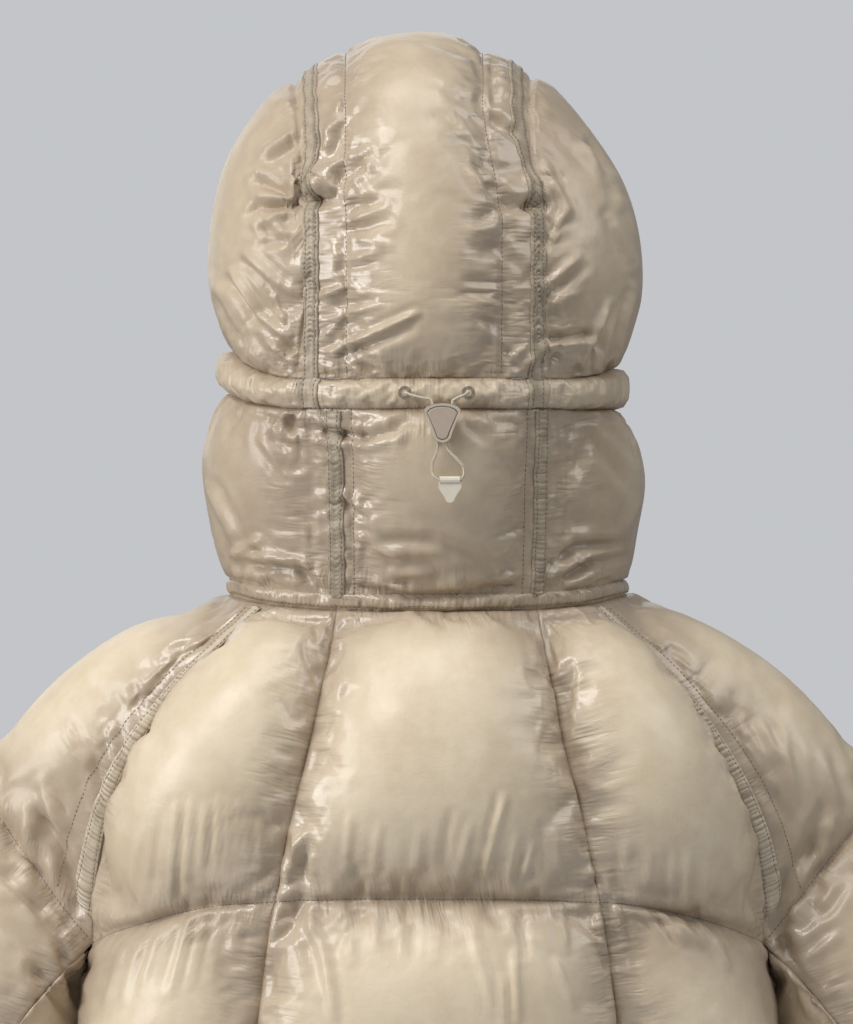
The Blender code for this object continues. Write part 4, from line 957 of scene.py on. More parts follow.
def sleeve_panels():
    outer = Panel(
        "sleeve_outer_left",
        sleeve_outer_point,
        shares_of(330, SLEEVE_CELL, RAGLAN_MARGINS),
        stations_of(0, 5, SLEEVE_CELL),
        np.array([250.0, -12.0, -300.0]),
        sleeve_fullness,
        PUFF["sleeve"],
        held_rows=(1.0, 2.0, 3.0, 4.0),
    )
    flat_rows = outer.rows <= 1.0
    flat_columns = (outer.columns <= RAGLAN_FLAT + 1e-6) | (outer.columns >= 1 - RAGLAN_FLAT - 1e-6)
    outer.held |= flat_rows[:, None] & flat_columns[None, :]
    under = Panel(
        "sleeve_under_left",
        sleeve_under_point,
        shares_of(190, SLEEVE_CELL),
        stations_of(1, 5, SLEEVE_CELL * 1.2),
        np.array([300.0, -12.0, -450.0]),
        lambda share, station: fill(share) * between_quilts(station),
        PUFF["under"],
        held_rows=(2.0, 3.0, 4.0),
    )
    return outer, under


for piece in sleeve_panels():
    panels += [piece, piece.mirrored(piece.name.replace("left", "right"))]
print("sleeves:", [panel.points.shape[:2] for panel in panels[-4:]])

# %% The hood panels
SIDE_FLAT = 0.1
SIDE_MARGINS = (0.05, 0.94)
LOWER_MARGIN = 0.1
LOWER_FOOT = 0.09
LOWER_SIDE_MARGINS = (0.05, 0.965)
LOWER_INSIDE = np.array([0.0, -10.0, 70.0])


def smooth_side_surface(side):
    """The side panel with its back edge drawn softly onto the crown seam's upright plane."""
    surface = hood_side_surface(side)

    def point(share, rise):
        if share == 0:
            return surface(0, rise)
        near_seam = 1 - smooth(share / 0.12)
        place = surface(share, rise)
        if near_seam > 0:
            place = place + (surface(0, rise) - surface(1e-6, rise)) * near_seam
        return place

    return point


def hood_panels():
    count = LOW_ROWS + HIGH_ROWS
    crown = Panel(
        "hood_centre",
        lambda share, rise: crown_point(share, rise * count),
        shares_of(146, HOOD_CELL, (CROWN_FLAT, 1 - CROWN_FLAT)),
        shares_of(500, HOOD_CELL),
        DOME_MIDDLE,
        lambda share, rise: fill(share, CROWN_FLAT, CROWN_FLAT) * crown_fill(rise),
        PUFF["crown"],
        held_columns=(CROWN_FLAT, 1 - CROWN_FLAT),
    )
    made = [crown]
    for name, side in SIDES:
        made.append(
            Panel(
                f"hood_side_{name}",
                smooth_side_surface(side),
                shares_of(330, HOOD_CELL, SIDE_MARGINS),
                shares_of(220, HOOD_CELL, (1 - SIDE_FLAT,)),
                DOME_MIDDLE,
                lambda share, rise: fill(share, 0.05, 0.06) * fill(rise, 0.0, SIDE_FLAT),
                PUFF["hood_side"],
                held_columns=SIDE_MARGINS,
                held_rows=(1 - SIDE_FLAT,),
            )
        )
    return made


def crown_fill(share):
    return fill(share) if share > 0.5 else fill(min(share * 1.6, 0.5))


def tunnel_panels():
    right = level_angle(CROWN_SEAM[-1], TUNNEL_TOP_BACK)
    left = level_angle(CROWN_SEAM[1], TUNNEL_TOP_BACK)
    spans = (
        ("tunnel_back", right, left, 150),
        ("tunnel_side_left", left, FACE_ANGLE, 300),
        ("tunnel_side_right", right, -FACE_ANGLE, 300),
    )
    return [
        Panel(
            name,
            lambda share, rise, start=start, end=end: tunnel_point(lerp(start, end, share), rise),
            shares_of(length, 2.6, (0.06, 0.94)),
            np.linspace(0, 1, 10),
            np.array([0.0, 5.0, TUNNEL_Z]),
            lambda share, rise: fill(share, 0.03, 0.03) ** 0.3 * fill(rise) ** 0.6,
            PUFF["tunnel" if name == "tunnel_back" else "tunnel_side"],
        )
        for name, start, end, length in spans
    ]


def lower_fill(rise):
    """The lower hood is fullest near the tunnel."""
    return fill(rise**2, LOWER_FOOT**2)


def lower_panels():
    made = [
        Panel(
            "lower_centre",
            lower_centre_point,
            shares_of(136, HOOD_CELL, (LOWER_MARGIN, 1 - LOWER_MARGIN)),
            shares_of(145, HOOD_CELL, (LOWER_FOOT,)),
            LOWER_INSIDE,
            lambda share, rise: fill(share, LOWER_MARGIN, LOWER_MARGIN) * lower_fill(rise),
            PUFF["lower"],
            held_columns=(LOWER_MARGIN, 1 - LOWER_MARGIN),
            held_rows=(LOWER_FOOT,),
        )
    ]
    for name, side in SIDES:
        made.append(
            Panel(
                f"lower_side_{name}",
                lower_side_surface(side),
                shares_of(330, HOOD_CELL, LOWER_SIDE_MARGINS),
                shares_of(145, HOOD_CELL, (LOWER_FOOT,)),
                LOWER_INSIDE,
                lambda share, rise: fill(share, 0.05, 0.035) * lower_fill(rise),
                PUFF["lower"],
                held_columns=LOWER_SIDE_MARGINS,
                held_rows=(LOWER_FOOT,),
            )
        )
    return made


hood = hood_panels() + tunnel_panels() + lower_panels()
panels += hood
print("hood:", [panel.points.shape[:2] for panel in hood])

# %% Blow them all up
blow_up(panels)
moves = {}
for panel in panels:
    farthest = np.linalg.norm(panel.blown - panel.start, axis=-1).max()
    moves[panel.name] = round(float(farthest), 1)
print("points moved at most, in mm:", moves)


# %% [markdown]
# ## Folds pressed in
# The simulation gives the small puckers. The main folds are placed one by one, where the jacket's own back
# shows
# them: stars of facets beside the gathered tapes, the bunched cloth above the drawcord, the twists where
# seams cross, and the deep folds at the armpits. Each row runs from one place to another, measured across and
# up in one upright plane inside the back, then gives its height (below zero a groove) and its half width, all
# in millimetres.

# %% The folds
CREASES = {
    "hood left side": """
    83 265 113 263 -4.2 2.6; 113 263 119 257 -2.6 2.4; 84 269 114 280 -3.4 2.6; 86 275 110 288 2.6 3;
    110 288 117 282 2.1 3; 91 268 115 271 2.9 2.6; 96 259 114 251 2.6 2.8; 110 253 104 244 -2.3 2.6;
    101 253 92 242 2.3 2.8; 92 242 110 238 -2.1 2.6; 120 232 100 214 3.1 3; 100 214 82 205 2.6 3;
    122 227 104 209 -2.6 2.8; 129 220 110 191 3.4 2.6; 110 191 93 178 2.6 2.6; 132 215 114 187 -2.9 2.8;
    104 174 84 158 3.4 2.4; 100 177 82 165 -2.6 2.6; 98 193 90 182 2.6 2.4; 90 182 94 187 -1.8 2.2;
    142 216 132 193 2.1 3; 132 193 123 181 1.8 3; 138 202 129 182 -2.1 3; 110 299 87 314 2.3 3.4;
    107 293 84 306 -2.1 3.2; 104 334 84 331 1.6 3.4; 117 182 103 158 -1.8 3; 127 176 114 158 1.6 3
    """,
    "bunch of the left tape": """
    90 296 88 269 3.4 3.4; 86 294 84 268 -1.8 2.4; 88 296 74 300 2.6 3; 86 267 62 269 -5.5 3.6;
    63 271 57 282 -4.4 3.8; 57 282 47 290 -4 3.2; 84 283 68 281 8 8; 65 289 51 296 4.2 3.2;
    51 296 42 299 3.4 2.8; 42 299 38 290 2 2.8; 50 286 40 268 2.2 3; 68 300 65 314 3.2 2.6;
    65 314 53 323 3 2.6; 63 302 55 310 -2.6 2.8; 68 314 55 337 1.8 2.8; 71 339 61 354 1.6 2.8
    """,
    "left margin of the crown": """
    55 253 28 263 2.5 2.4; 53 248 24 253 -2.1 2.4; 55 244 25 238 2.3 2.6; 51 226 33 234 2.8 2.6;
    61 222 37 227 -2.1 2.4; 70 205 50 211 2.5 2.4; 66 198 37 202 -1.8 2.4; 70 176 51 194 2.3 2.4;
    70 187 33 199 1.8 2.6; 61 169 36 180 3.4 2.4; 36 180 8 193 3 2.4; 58 164 12 182 -2.3 3;
    65 168 37 150 2.5 2.6; 55 158 44 149 -3 2.6; 50 161 33 153 -2.1 2.4; 70 152 51 149 -3 2.8;
    32 168 24 152 1.6 2.8; 50 264 34 268 -1.8 2.4
    """,
    "right margin of the crown and the right tape": """
    -33 335 -45 319 -4.6 3.2; -45 319 -61 310 -3.8 3; -28 339 -42 326 2.6 3.4; -42 360 -44 327 -2.6 3;
    -32 290 -42 277 -3.6 3.6; -42 277 -51 264 -5 4.2; -51 264 -76 264 -5.5 3.4; -34 293 -48 286 -2.4 3.2;
    -28 288 -37 276 2 3; -77 290 -84 275 3.4 3.2; -84 275 -92 260 3.6 3.2; -92 260 -82 247 2.8 3.2;
    -80 280 -87 264 -2.4 2.8; -82 251 -78 238 -2 2.8; -62 279 -75 278 5 7; -33 255 -49 264 -2.4 3;
    -28 247 -49 251 1.6 2.6; -26 236 -50 238 -1.4 2.6; -29 227 -50 227 1.5 2.6; -25 215 -50 213 -1.5 2.6;
    -30 202 -50 197 1.6 2.6; -33 190 -50 185 -1.6 2.6; -37 181 -50 174 1.8 2.6; -78 211 -99 230 2.4 2.8;
    -79 205 -104 223 -1.8 2.8; -78 238 -95 251 1.6 2.8; -78 197 -100 207 1.2 2.8; -77 176 -111 180 -2.8 2.8;
    -79 172 -108 174 2 2.8; -95 149 -115 178 -1.8 3.2; -53 161 -65 172 2.4 2.6; -65 161 -77 172 3.4 3;
    -77 172 -88 170 3 3; -67 154 -84 165 -2.8 2.8; -51 168 -61 154 -2 2.6; -55 149 -74 149 -2.6 2.8
    """,
    "long soft creases by the right outline": """
    -102 301 -117 282 2.8 3; -117 282 -128 264 2.7 3; -107 306 -121 288 -2.7 3; -114 288 -124 268 -2.7 3;
    -87 315 -107 297 2.3 3.4; -121 256 -136 224 2.5 3; -117 259 -132 227 -2.3 3; -102 158 -120 199 3.2 2.6;
    -107 157 -123 197 -2.8 2.6; -111 157 -127 197 2.8 2.6; -117 158 -132 207 -2.8 2.6;
    -121 158 -136 211 2.7 2.6; -127 160 -139 198 -2.5 2.6; -87 202 -94 182 1.9 3.4
    """,
    "lower hood": """
    84 119 65 114 -5.2 3.2; 66 114 41 111 -5.8 3.2; 41 111 15 119 -4.5 3.2; 58 107 32 106 2.5 3;
    94 129 96 115 3.5 2.6; 96 115 85 109 3.2 2.6; 85 109 84 123 2.2 2.6; 91 127 91 116 -3 2.6;
    110 111 99 95 2.5 2.6; 104 112 92 102 -2 2.8; 129 33 113 43 3.2 2.8; 113 43 103 33 2.8 2.8;
    120 33 81 30 3.2 3; 81 30 66 15 3.2 3; 124 28 84 22 -3.8 3.2; 84 22 69 7 -3.8 3.2; 132 26 110 8 2.2 3;
    114 26 100 11 -2.5 3; 145 79 131 51 2.2 3; 140 81 127 54 -2 3; 131 51 124 30 1.8 3; 56 76 43 64 3.8 2.6;
    55 68 42 57 -2.8 2.6; 56 53 41 44 2.5 2.6; 56 37 48 26 2.5 2.6; 35 40 18 33 3.2 2.8; 30 43 -1 43 -2.8 4;
    -1 43 -40 29 -2.2 4; 24 38 -8 36 2 3.4; 30 21 0 22 3 3.2; 51 13 13 5 -5.5 3.2; 13 5 -28 7 -5 3.2;
    -28 7 -61 14 -4.5 3.2; 37 17 12 12 3 3; -11 15 -57 20 1.8 3.4; -28 126 -40 119 2.5 2.6;
    -24 121 -36 110 -2 2.8; 12 123 21 107 1.5 3; -44 46 -63 52 -2.5 2.8; -80 26 -99 40 -4.5 3.2;
    -99 40 -128 40 -3.8 3.2; -84 15 -107 29 -3.8 3; -107 29 -129 34 -3 3; -82 21 -106 34 3.2 3;
    -106 34 -129 37 2.8 3; -75 18 -81 4 -3 3; -87 13 -111 22 2.5 3; -114 116 -136 90 1.6 3.4;
    -107 110 -133 77 -1.5 3.4; -121 123 -140 103 1.5 3; -82 120 -88 110 2 2.8; -94 90 -107 63 1.1 4;
    -130 50 -140 70 1.8 3
    """,
    "back, beside the crossings": """
    90 -147 84 -162 3 2.8; 84 -162 82 -181 -3.7 3; 96 -168 92 -185 3.2 2.6; 87 -158 91 -176 2.4 2.6;
    80 -149 89 -166 2.4 3; 98 -191 84 -187 3.2 3; 98 -191 102 -218 2.6 3; 84 -189 92 -217 -3.9 3.4;
    75 -194 79 -220 2.6 3.4; 77 -206 67 -234 2.8 3.2; 67 -234 62 -271 2.6 3.2; 82 -214 75 -250 -1.9 3.6;
    -104 -178 -115 -172 3.5 2.6; -115 -172 -120 -187 3 2.6; -107 -183 -118 -183 -2.2 2.8;
    -112 -186 -114 -214 3 2.8; -117 -192 -121 -224 -2.2 3.2; -124 -194 -128 -224 2.6 3;
    -112 -168 -107 -153 2.2 2.8
    """,
    "upright creases above and below the quilting on the back": """
    137 -127 139 -169 1.4 2; 131 -128 133 -172 1.7 2; 125 -129 127 -170 1.5 2; 120 -136 120 -169 1.1 2.2;
    147 -132 150 -176 1.1 2.2; 156 -128 160 -181 1.1 2.4; 166 -132 170 -187 1.3 2.4;
    177 -139 182 -191 -1.3 2.6; 162 -138 165 -184 -1.1 2.2; 143 -138 145 -173 -1.1 2;
    110 -141 111 -176 1.3 2.4; 104 -128 101 -161 1 2.4; 190 -148 197 -197 1.1 2.6;
    -50 -127 -43 -150 2.4 2.6; -43 -150 -38 -177 2.3 2.4; -46 -128 -39 -161 -1.5 2.6;
    -68 -158 -64 -177 2.2 2.2; -58 -152 -53 -181 1.4 2.4; -28 -145 -20 -178 1.3 2.6;
    -15 -136 -8 -173 -1.1 2.6; 5 -148 8 -178 1.1 2.6; 32 -145 36 -176 1 2.6; 51 -139 55 -176 1.1 2.6;
    -74 -145 -77 -176 -1.4 2.4; -84 -149 -87 -181 1.3 2.4; -133 -153 -128 -181 1.1 2.6;
    -147 -161 -144 -189 1.3 2.4; -158 -160 -156 -194 -1.1 2.4; -173 -161 -169 -199 1.1 2.6;
    -187 -161 -181 -204 1.1 2.6; 157 -206 170 -256 2.3 2.6; 162 -205 176 -250 -1.7 2.6;
    177 -215 188 -249 2 2.6; 183 -214 197 -253 -1.5 2.6; 147 -199 157 -250 1.5 2.8;
    136 -195 144 -247 1.4 2.6; 189 -220 202 -263 1.8 2.6; 201 -223 213 -267 1.4 2.6;
    124 -194 129 -234 1.3 2.6; 55 -191 50 -234 1.3 2.8; 37 -191 34 -224 1.1 2.8; 18 -194 16 -234 1.1 2.8;
    -8 -195 -5 -234 1.1 2.8; -28 -198 -33 -235 1.1 2.8; -61 -201 -65 -230 -2.3 2.6;
    -57 -230 -59 -273 2.5 2.6; -84 -236 -96 -263 1.9 2.8; -49 -246 -50 -275 1.8 2.6;
    -33 -227 -44 -268 1.5 2.8; -87 -197 -91 -227 1.3 2.6; -143 -201 -156 -219 2.3 2.4;
    -155 -205 -169 -222 2.2 2.4; -166 -209 -180 -224 1.8 2.4; -148 -202 -161 -222 -1.5 2.2;
    -190 -219 -198 -239 2.3 2.4; -131 -199 -136 -227 1.8 2.6; -140 -238 -144 -267 1.3 3;
    65 -22 70 -62 1.1 3; 54 -32 62 -75 1 3.2; -69 -22 -79 -62 1.1 3
    """,
    "sleeves and armpits": """
    258 -136 242 -161 -5.5 4.2; 242 -161 230 -201 -6 4.2; 264 -135 264 -183 3.2 4.6;
    252 -128 240 -153 2.8 3.4; 256 -116 243 -147 2.2 3; 248 -115 239 -139 -2 2.8; 240 -79 230 -103 1.8 2.8;
    235 -78 224 -99 -1.6 2.8; 228 -99 218 -133 2.6 2.8; 222 -91 214 -121 -2 2.8; 212 -77 205 -103 2.2 2.6;
    206 -75 199 -94 -1.6 2.6; 219 -87 213 -103 1.4 2.6; 190 -46 182 -67 1.8 2.4; 183 -44 176 -62 1.8 2.4;
    178 -37 170 -55 1.6 2.4; 195 -55 189 -73 -1.6 2.4; 282 -177 258 -199 -2.4 3.2; 258 -199 244 -219 -3 3.2;
    244 -219 234 -201 -2.6 3; 277 -186 256 -214 1.8 3.2; 253 -182 236 -194 2 3; 243 -224 231 -261 -5 3.6;
    261 -238 238 -268 -4.4 3.6; 249 -227 239 -252 2.4 3.4; 282 -217 263 -239 1.8 3.4;
    272 -260 243 -244 1.2 3.4; 269 -234 261 -268 1.4 3.4; -260 -136 -253 -160 -3.2 3.8;
    -253 -160 -235 -180 -3.6 4; -235 -180 -230 -203 -3.6 4; -230 -203 -241 -235 -3.4 3.8;
    -266 -139 -260 -165 2.6 3.6; -246 -172 -242 -215 3.2 5; -248 -136 -242 -158 2.2 3.2;
    -234 -88 -244 -129 2 3.2; -240 -87 -249 -125 -1.6 3.2; -221 -79 -230 -99 2 2.8;
    -226 -77 -236 -96 -1.6 2.8; -210 -81 -219 -96 1.4 2.8; -219 -128 -230 -148 1.6 3;
    -227 -121 -239 -145 -1.8 3; -218 -104 -227 -121 1.4 3; -261 -99 -272 -139 1.4 3;
    -265 -95 -279 -132 -1.3 3; -253 -104 -264 -144 -1.2 3; -217 -197 -232 -223 -4.4 3.6;
    -232 -223 -242 -239 -4 3.4; -242 -239 -261 -268 -3 3.2; -226 -214 -230 -244 2.2 3.2;
    -246 -223 -263 -205 1.8 3.2; -249 -235 -272 -217 1.6 3.2; -246 -250 -253 -273 1.6 3.2;
    -257 -212 -275 -185 -2 3.2; -239 -194 -246 -214 1.4 3.2
    """,
}
VIEW_DISTANCE, VIEW_HEIGHT = 3600.0, 62.0  # where the camera stands
VIEW_PLANE = 60.0  # how far behind the middle the folds' plane stands
FOLD_REACH = 3.4  # a fold is worked out this many half widths around it
FOLD_END = 0.2  # share of a fold's length over which it fades at each end
BESIDE, BESIDE_AWAY = 0.28, 2.1  # how strongly, and how many half widths away, the cloth beside it gives way


def as_seen(points):
    """Where points appear in the folds' upright plane, looked at from behind."""
    scale = (VIEW_DISTANCE - VIEW_PLANE) / (VIEW_DISTANCE - points[..., 1])
    return points[..., 0] * scale, VIEW_HEIGHT + (points[..., 2] - VIEW_HEIGHT) * scale


def fold_rows():
    text = ";".join(CREASES.values())
    return np.array([[float(word) for word in row.split()] for row in text.split(";") if row.strip()])


def fold_height(x, z):
    """How far the folds lift the cloth at each place, with the cloth beside a fold drawn the other way."""
    height = np.zeros(x.shape)
    for x0, z0, x1, z1, size, width in fold_rows():
        reach = FOLD_REACH * width
        near = (x > min(x0, x1) - reach) & (x < max(x0, x1) + reach)
        near &= (z > min(z0, z1) - reach) & (z < max(z0, z1) + reach)
        if not near.any():
            continue
        px, pz = x[near] - x0, z[near] - z0
        dx, dz = x1 - x0, z1 - z0
        share = np.clip((px * dx + pz * dz) / (dx * dx + dz * dz), 0, 1)
        away = np.hypot(px - share * dx, pz - share * dz)
        ends = 0.5 + 0.5 * soft_step(np.minimum(share, 1 - share) / FOLD_END)
        shape = np.exp(-((away / width) ** 2))
        shape = shape - BESIDE * np.exp(-(((away - BESIDE_AWAY * width) / width) ** 2))
        height[near] += size * ends * shape
    return height


def press_folds(points, normals, share):
    """The points with the folds pressed in, where the cloth faces backwards."""
    facing = share * soft_step((normals[..., 1] - 0.02) / 0.25)
    return points + normals * (fold_height(*as_seen(points)) * facing)[..., None]


# %% [markdown]
# ## From a blown sheet to a closed panel
# The simulated layer is doubled in density with a smooth cubic, and the finest puckers are pressed in along
# its seams: a thread draws the cloth up every few millimetres. Then the panel gets its inner layer, and the
# two are joined round the rim, so every panel is one closed skin. Its UV map is in metres along the cloth.

# %% Finer grids


def doubled(values, axis):
    """A grid with a smoothly placed new point between every two."""
    values = np.moveaxis(values, axis, 0)
    padded = np.concatenate([2 * values[:1] - values[1:2], values, 2 * values[-1:] - values[-2:-1]])
    middle = (9 * (padded[1:-2] + padded[2:-1]) - padded[:-3] - padded[3:]) / 16
    out = np.zeros((len(values) * 2 - 1, *values.shape[1:]))
    out[0::2], out[1::2] = values, middle
    return np.moveaxis(out, 0, axis)


def finer(values):
    return doubled(doubled(values, 0), 1)


def finer_marks(marks):
    out = np.zeros(len(marks) * 2 - 1, dtype=bool)
    out[0::2] = marks
    return out


def reach_along(points, axis):
    """Distance along a grid from its first row or column, in millimetres."""
    step = np.linalg.norm(np.diff(points, axis=axis), axis=-1)
    step = np.concatenate([np.zeros_like(np.take(step, [0], axis=axis)), step], axis=axis)
    return np.cumsum(step, axis=axis)


def distance_to_marks(reach, marks, axis):
    """How far each point lies from the nearest stitched row or column."""
    marked = np.take(reach, np.flatnonzero(marks), axis=axis)
    gaps = np.abs(np.expand_dims(reach, axis) - np.expand_dims(marked, axis + 1))
    return gaps.min(axis=axis)


# %% Puckers along the seams
CALM_START, CALM_RUN = 12.0, 30.0  # the cloth is evened out from here on, over this distance
CALM_ROUNDS, CALM_SHARE = 10, 0.8
PUCKER_START = 3.0  # puckers are weaker nearer to a seam than this
HELD_SHARE, HELD_REACH = 0.35, 6.0  # share of a fold's height at a seam, and where it is whole again
PUCKERS = ((5.5, 0.45), (10.0, 0.75), (20.0, 0.8))  # width and height of each layer
HOOD_LOFT = 0.42  # less down in the hood: less warm tone, more of the grey tone that is partly painted shade


def puckers(along, depth, seed):
    """Small ridges that start at a seam and run away from it, wider and softer the further they go."""
    height = np.zeros(along.shape)
    for layer, (width, size) in enumerate(PUCKERS):
        ridge = soft_noise(along / width * 2, depth / (width * 4) + 7 * layer, seed + layer)
        gate = 0.6 + 0.4 * soft_noise(along / (width * 5), depth / 90, seed + 20 + layer)
        height += size * ridge * gate * np.exp(-depth / (width * 1.7))
    return height * (1 - np.exp(-(depth + 0.6) / 2.0))


def beside(values):
    """The sum of the four values beside each one in a grid, whose edges are repeated beyond it."""
    padded = np.pad(values, ((1, 1), (1, 1)) + ((0, 0),) * (values.ndim - 2), mode="edge")
    return padded[:-2, 1:-1] + padded[2:, 1:-1] + padded[1:-1, :-2] + padded[1:-1, 2:]


def calmed(points, far):
    """Evens the blown cloth out where it is far from any stitching, because down fills it smoothly there."""
    soft = points
    for _ in range(CALM_ROUNDS):
        soft = beside(soft) / 4
    return lerp(points, soft, (CALM_SHARE * far)[..., None])


class Skin:
    """The finished outer layer of a panel, with what the other pieces need to lie on it."""

    def __init__(self, panel, seed):
        to_column = distance_to_marks(reach_along(panel.points, 1), panel.held_columns, 1)
        to_row = distance_to_marks(reach_along(panel.points, 0), panel.held_rows, 0)
        far = soft_step((np.minimum(to_column, to_row) - CALM_START) / CALM_RUN)
        outer = calmed(limited(panel), far)
        self.panel = panel
        self.outer = finer(outer)
        self.points = finer(panel.points)
        self.normals = units(finer(panel.normals))
        self.full = np.clip(finer(panel.full), 0, 1)
        self.loft = 1.0 if panel.name.startswith(("back", "front", "sleeve")) else HOOD_LOFT
        self.across = reach_along(self.points, 1)
        self.along = reach_along(self.points, 0)
        to_column = distance_to_marks(self.across, finer_marks(panel.held_columns), 1)
        to_row = distance_to_marks(self.along, finer_marks(panel.held_rows), 0)
        edge_distance = np.minimum(to_column, to_row)
        self.gaps = (to_column, to_row)
        lift = puckers(self.along, to_column, seed) + puckers(self.across, to_row, seed + 50)
        lift *= np.clip(edge_distance / PUCKER_START, 0.25, 1.0)
        self.outer += surface_normals(self.outer, self.normals) * lift[..., None]
        held = HELD_SHARE + (1 - HELD_SHARE) * soft_step(edge_distance / HELD_REACH)
        self.outer = press_folds(self.outer, surface_normals(self.outer, self.normals), held)


def surface_normals(points, outward):
    normals = units(np.cross(np.gradient(points, axis=1), np.gradient(points, axis=0)))
    sign = np.sign((normals * outward).sum(-1).mean())
    return normals * sign


# %% Closing a panel
INNER_STEP = 4  # the inner layer keeps one point in four
GAP_SCALE = 45.0  # distances to a seam are stored as shares of this


def inner_marks(count):
    marks = list(range(0, count - 1, INNER_STEP))
    if count - 1 - marks[-1] < INNER_STEP / 2 and len(marks) > 1:
        marks.pop()
    return marks + [count - 1]


def lowest_near(values, reach):
    """The lowest of each value and its neighbours along rows and columns."""
    for axis in (0, 1):
        padded = np.pad(values, [(reach, reach) if k == axis else (0, 0) for k in (0, 1)], mode="edge")
        size = values.shape[axis]
        moved = [np.take(padded, range(k, k + size), axis=axis) for k in range(2 * reach + 1)]
        values = np.min(moved, axis=0)
    return values


def closed_panel(name, skin):
    """One closed mesh: the fine outer layer, a coarser inner layer and a rim that joins them."""
    rows, columns = skin.outer.shape[:2]
    inner_rows, inner_columns = inner_marks(rows), inner_marks(columns)
    height = lowest_near(((skin.outer - skin.points) * skin.normals).sum(-1), INNER_STEP)
    inner_offset = np.maximum(SEAM_HALF + skin.panel.inner_puff * skin.full, 1.0 - height)
    inner = (skin.points - skin.normals * inner_offset[..., None])[np.ix_(inner_rows, inner_columns)]
    vertices = np.concatenate([skin.outer.reshape(-1, 3), inner.reshape(-1, 3)]) * MM
    flat_uv = np.stack([skin.across, skin.along], axis=-1) * MM
    uvs = np.concatenate([flat_uv.reshape(-1, 2), flat_uv[np.ix_(inner_rows, inner_columns)].reshape(-1, 2)])
    turned = not faces_out(skin.points, skin.normals)
    base = rows * columns
    faces = grid_faces(rows, columns, turned)
    back = grid_faces(len(inner_rows), len(inner_columns), not turned)
    faces += [tuple(base + v for v in face) for face in back]
    faces += rim_faces(rows, columns, inner_rows, inner_columns, base, turned)
    made = mesh_object(name, vertices, faces, uvs)
    labels = ("padding", "column_gap", "row_gap")
    measures = (skin.full * skin.loft, skin.gaps[0] / GAP_SCALE, skin.gaps[1] / GAP_SCALE)
    for label, values in zip(labels, measures):
        spread = np.zeros(len(vertices), dtype=np.float32)
        spread[:base] = np.clip(values, 0, 1).ravel()
        made.data.attributes.new(label, "FLOAT", "POINT").data.foreach_set("value", spread)
    return made


def rim_faces(rows, columns, inner_rows, inner_columns, base, turned):
    wide = len(inner_columns)
    faces = []
    for k, (i0, i1) in enumerate(zip(inner_rows, inner_rows[1:])):
        for j, inner_j, flip in ((0, 0, False), (columns - 1, wide - 1, True)):
            edge = [i * columns + j for i in range(i0, i1 + 1)]
            back = [base + (k + 1) * wide + inner_j, base + k * wide + inner_j]
            face = tuple(edge + back)
            faces.append(face[::-1] if flip != turned else face)
    for k, (j0, j1) in enumerate(zip(inner_columns, inner_columns[1:])):
        for i, inner_i, flip in ((0, 0, True), (rows - 1, len(inner_rows) - 1, False)):
            edge = [i * columns + j for j in range(j0, j1 + 1)]
            back = [base + inner_i * wide + k + 1, base + inner_i * wide + k]
            face = tuple(edge + back)
            faces.append(face[::-1] if flip != turned else face)
    return faces


# %% [markdown]
# ## Shader maths
# A material is a small network of nodes. One class wraps a socket, so sums and products of sockets are
# written as ordinary maths. One method makes any other node from its type, its settings and what feeds it.

# %% A small node language


class Wire:
    """An output socket that can be added, multiplied and so on."""

    def __init__(self, paint, socket):
        self.paint, self.socket = paint, socket

    def maths(self, operation, *values):
        return self.paint.node("ShaderNodeMath", {"operation": operation}, dict(enumerate(values)))

    def __add__(self, other):
        return self.maths("ADD", self, other)

    def __sub__(self, other):
        return self.maths("SUBTRACT", self, other)

    def __rsub__(self, other):
        return self.maths("SUBTRACT", other, self)

    def __mul__(self, other):
        return self.maths("MULTIPLY", self, other)

    __radd__, __rmul__ = __add__, __mul__

    def power(self, other):
        return self.maths("POWER", self, other)

    def absolute(self):
        return self.maths("ABSOLUTE", self)

    def sine(self):
        return self.maths("SINE", self)

    def smoothly(self, low, high):
        """0 below low, 1 above high and smooth between."""
        settings = {"interpolation_type": "SMOOTHSTEP"}
        sockets = {"Value": self, "From Min": low, "From Max": high}
        return self.paint.node("ShaderNodeMapRange", settings, sockets)


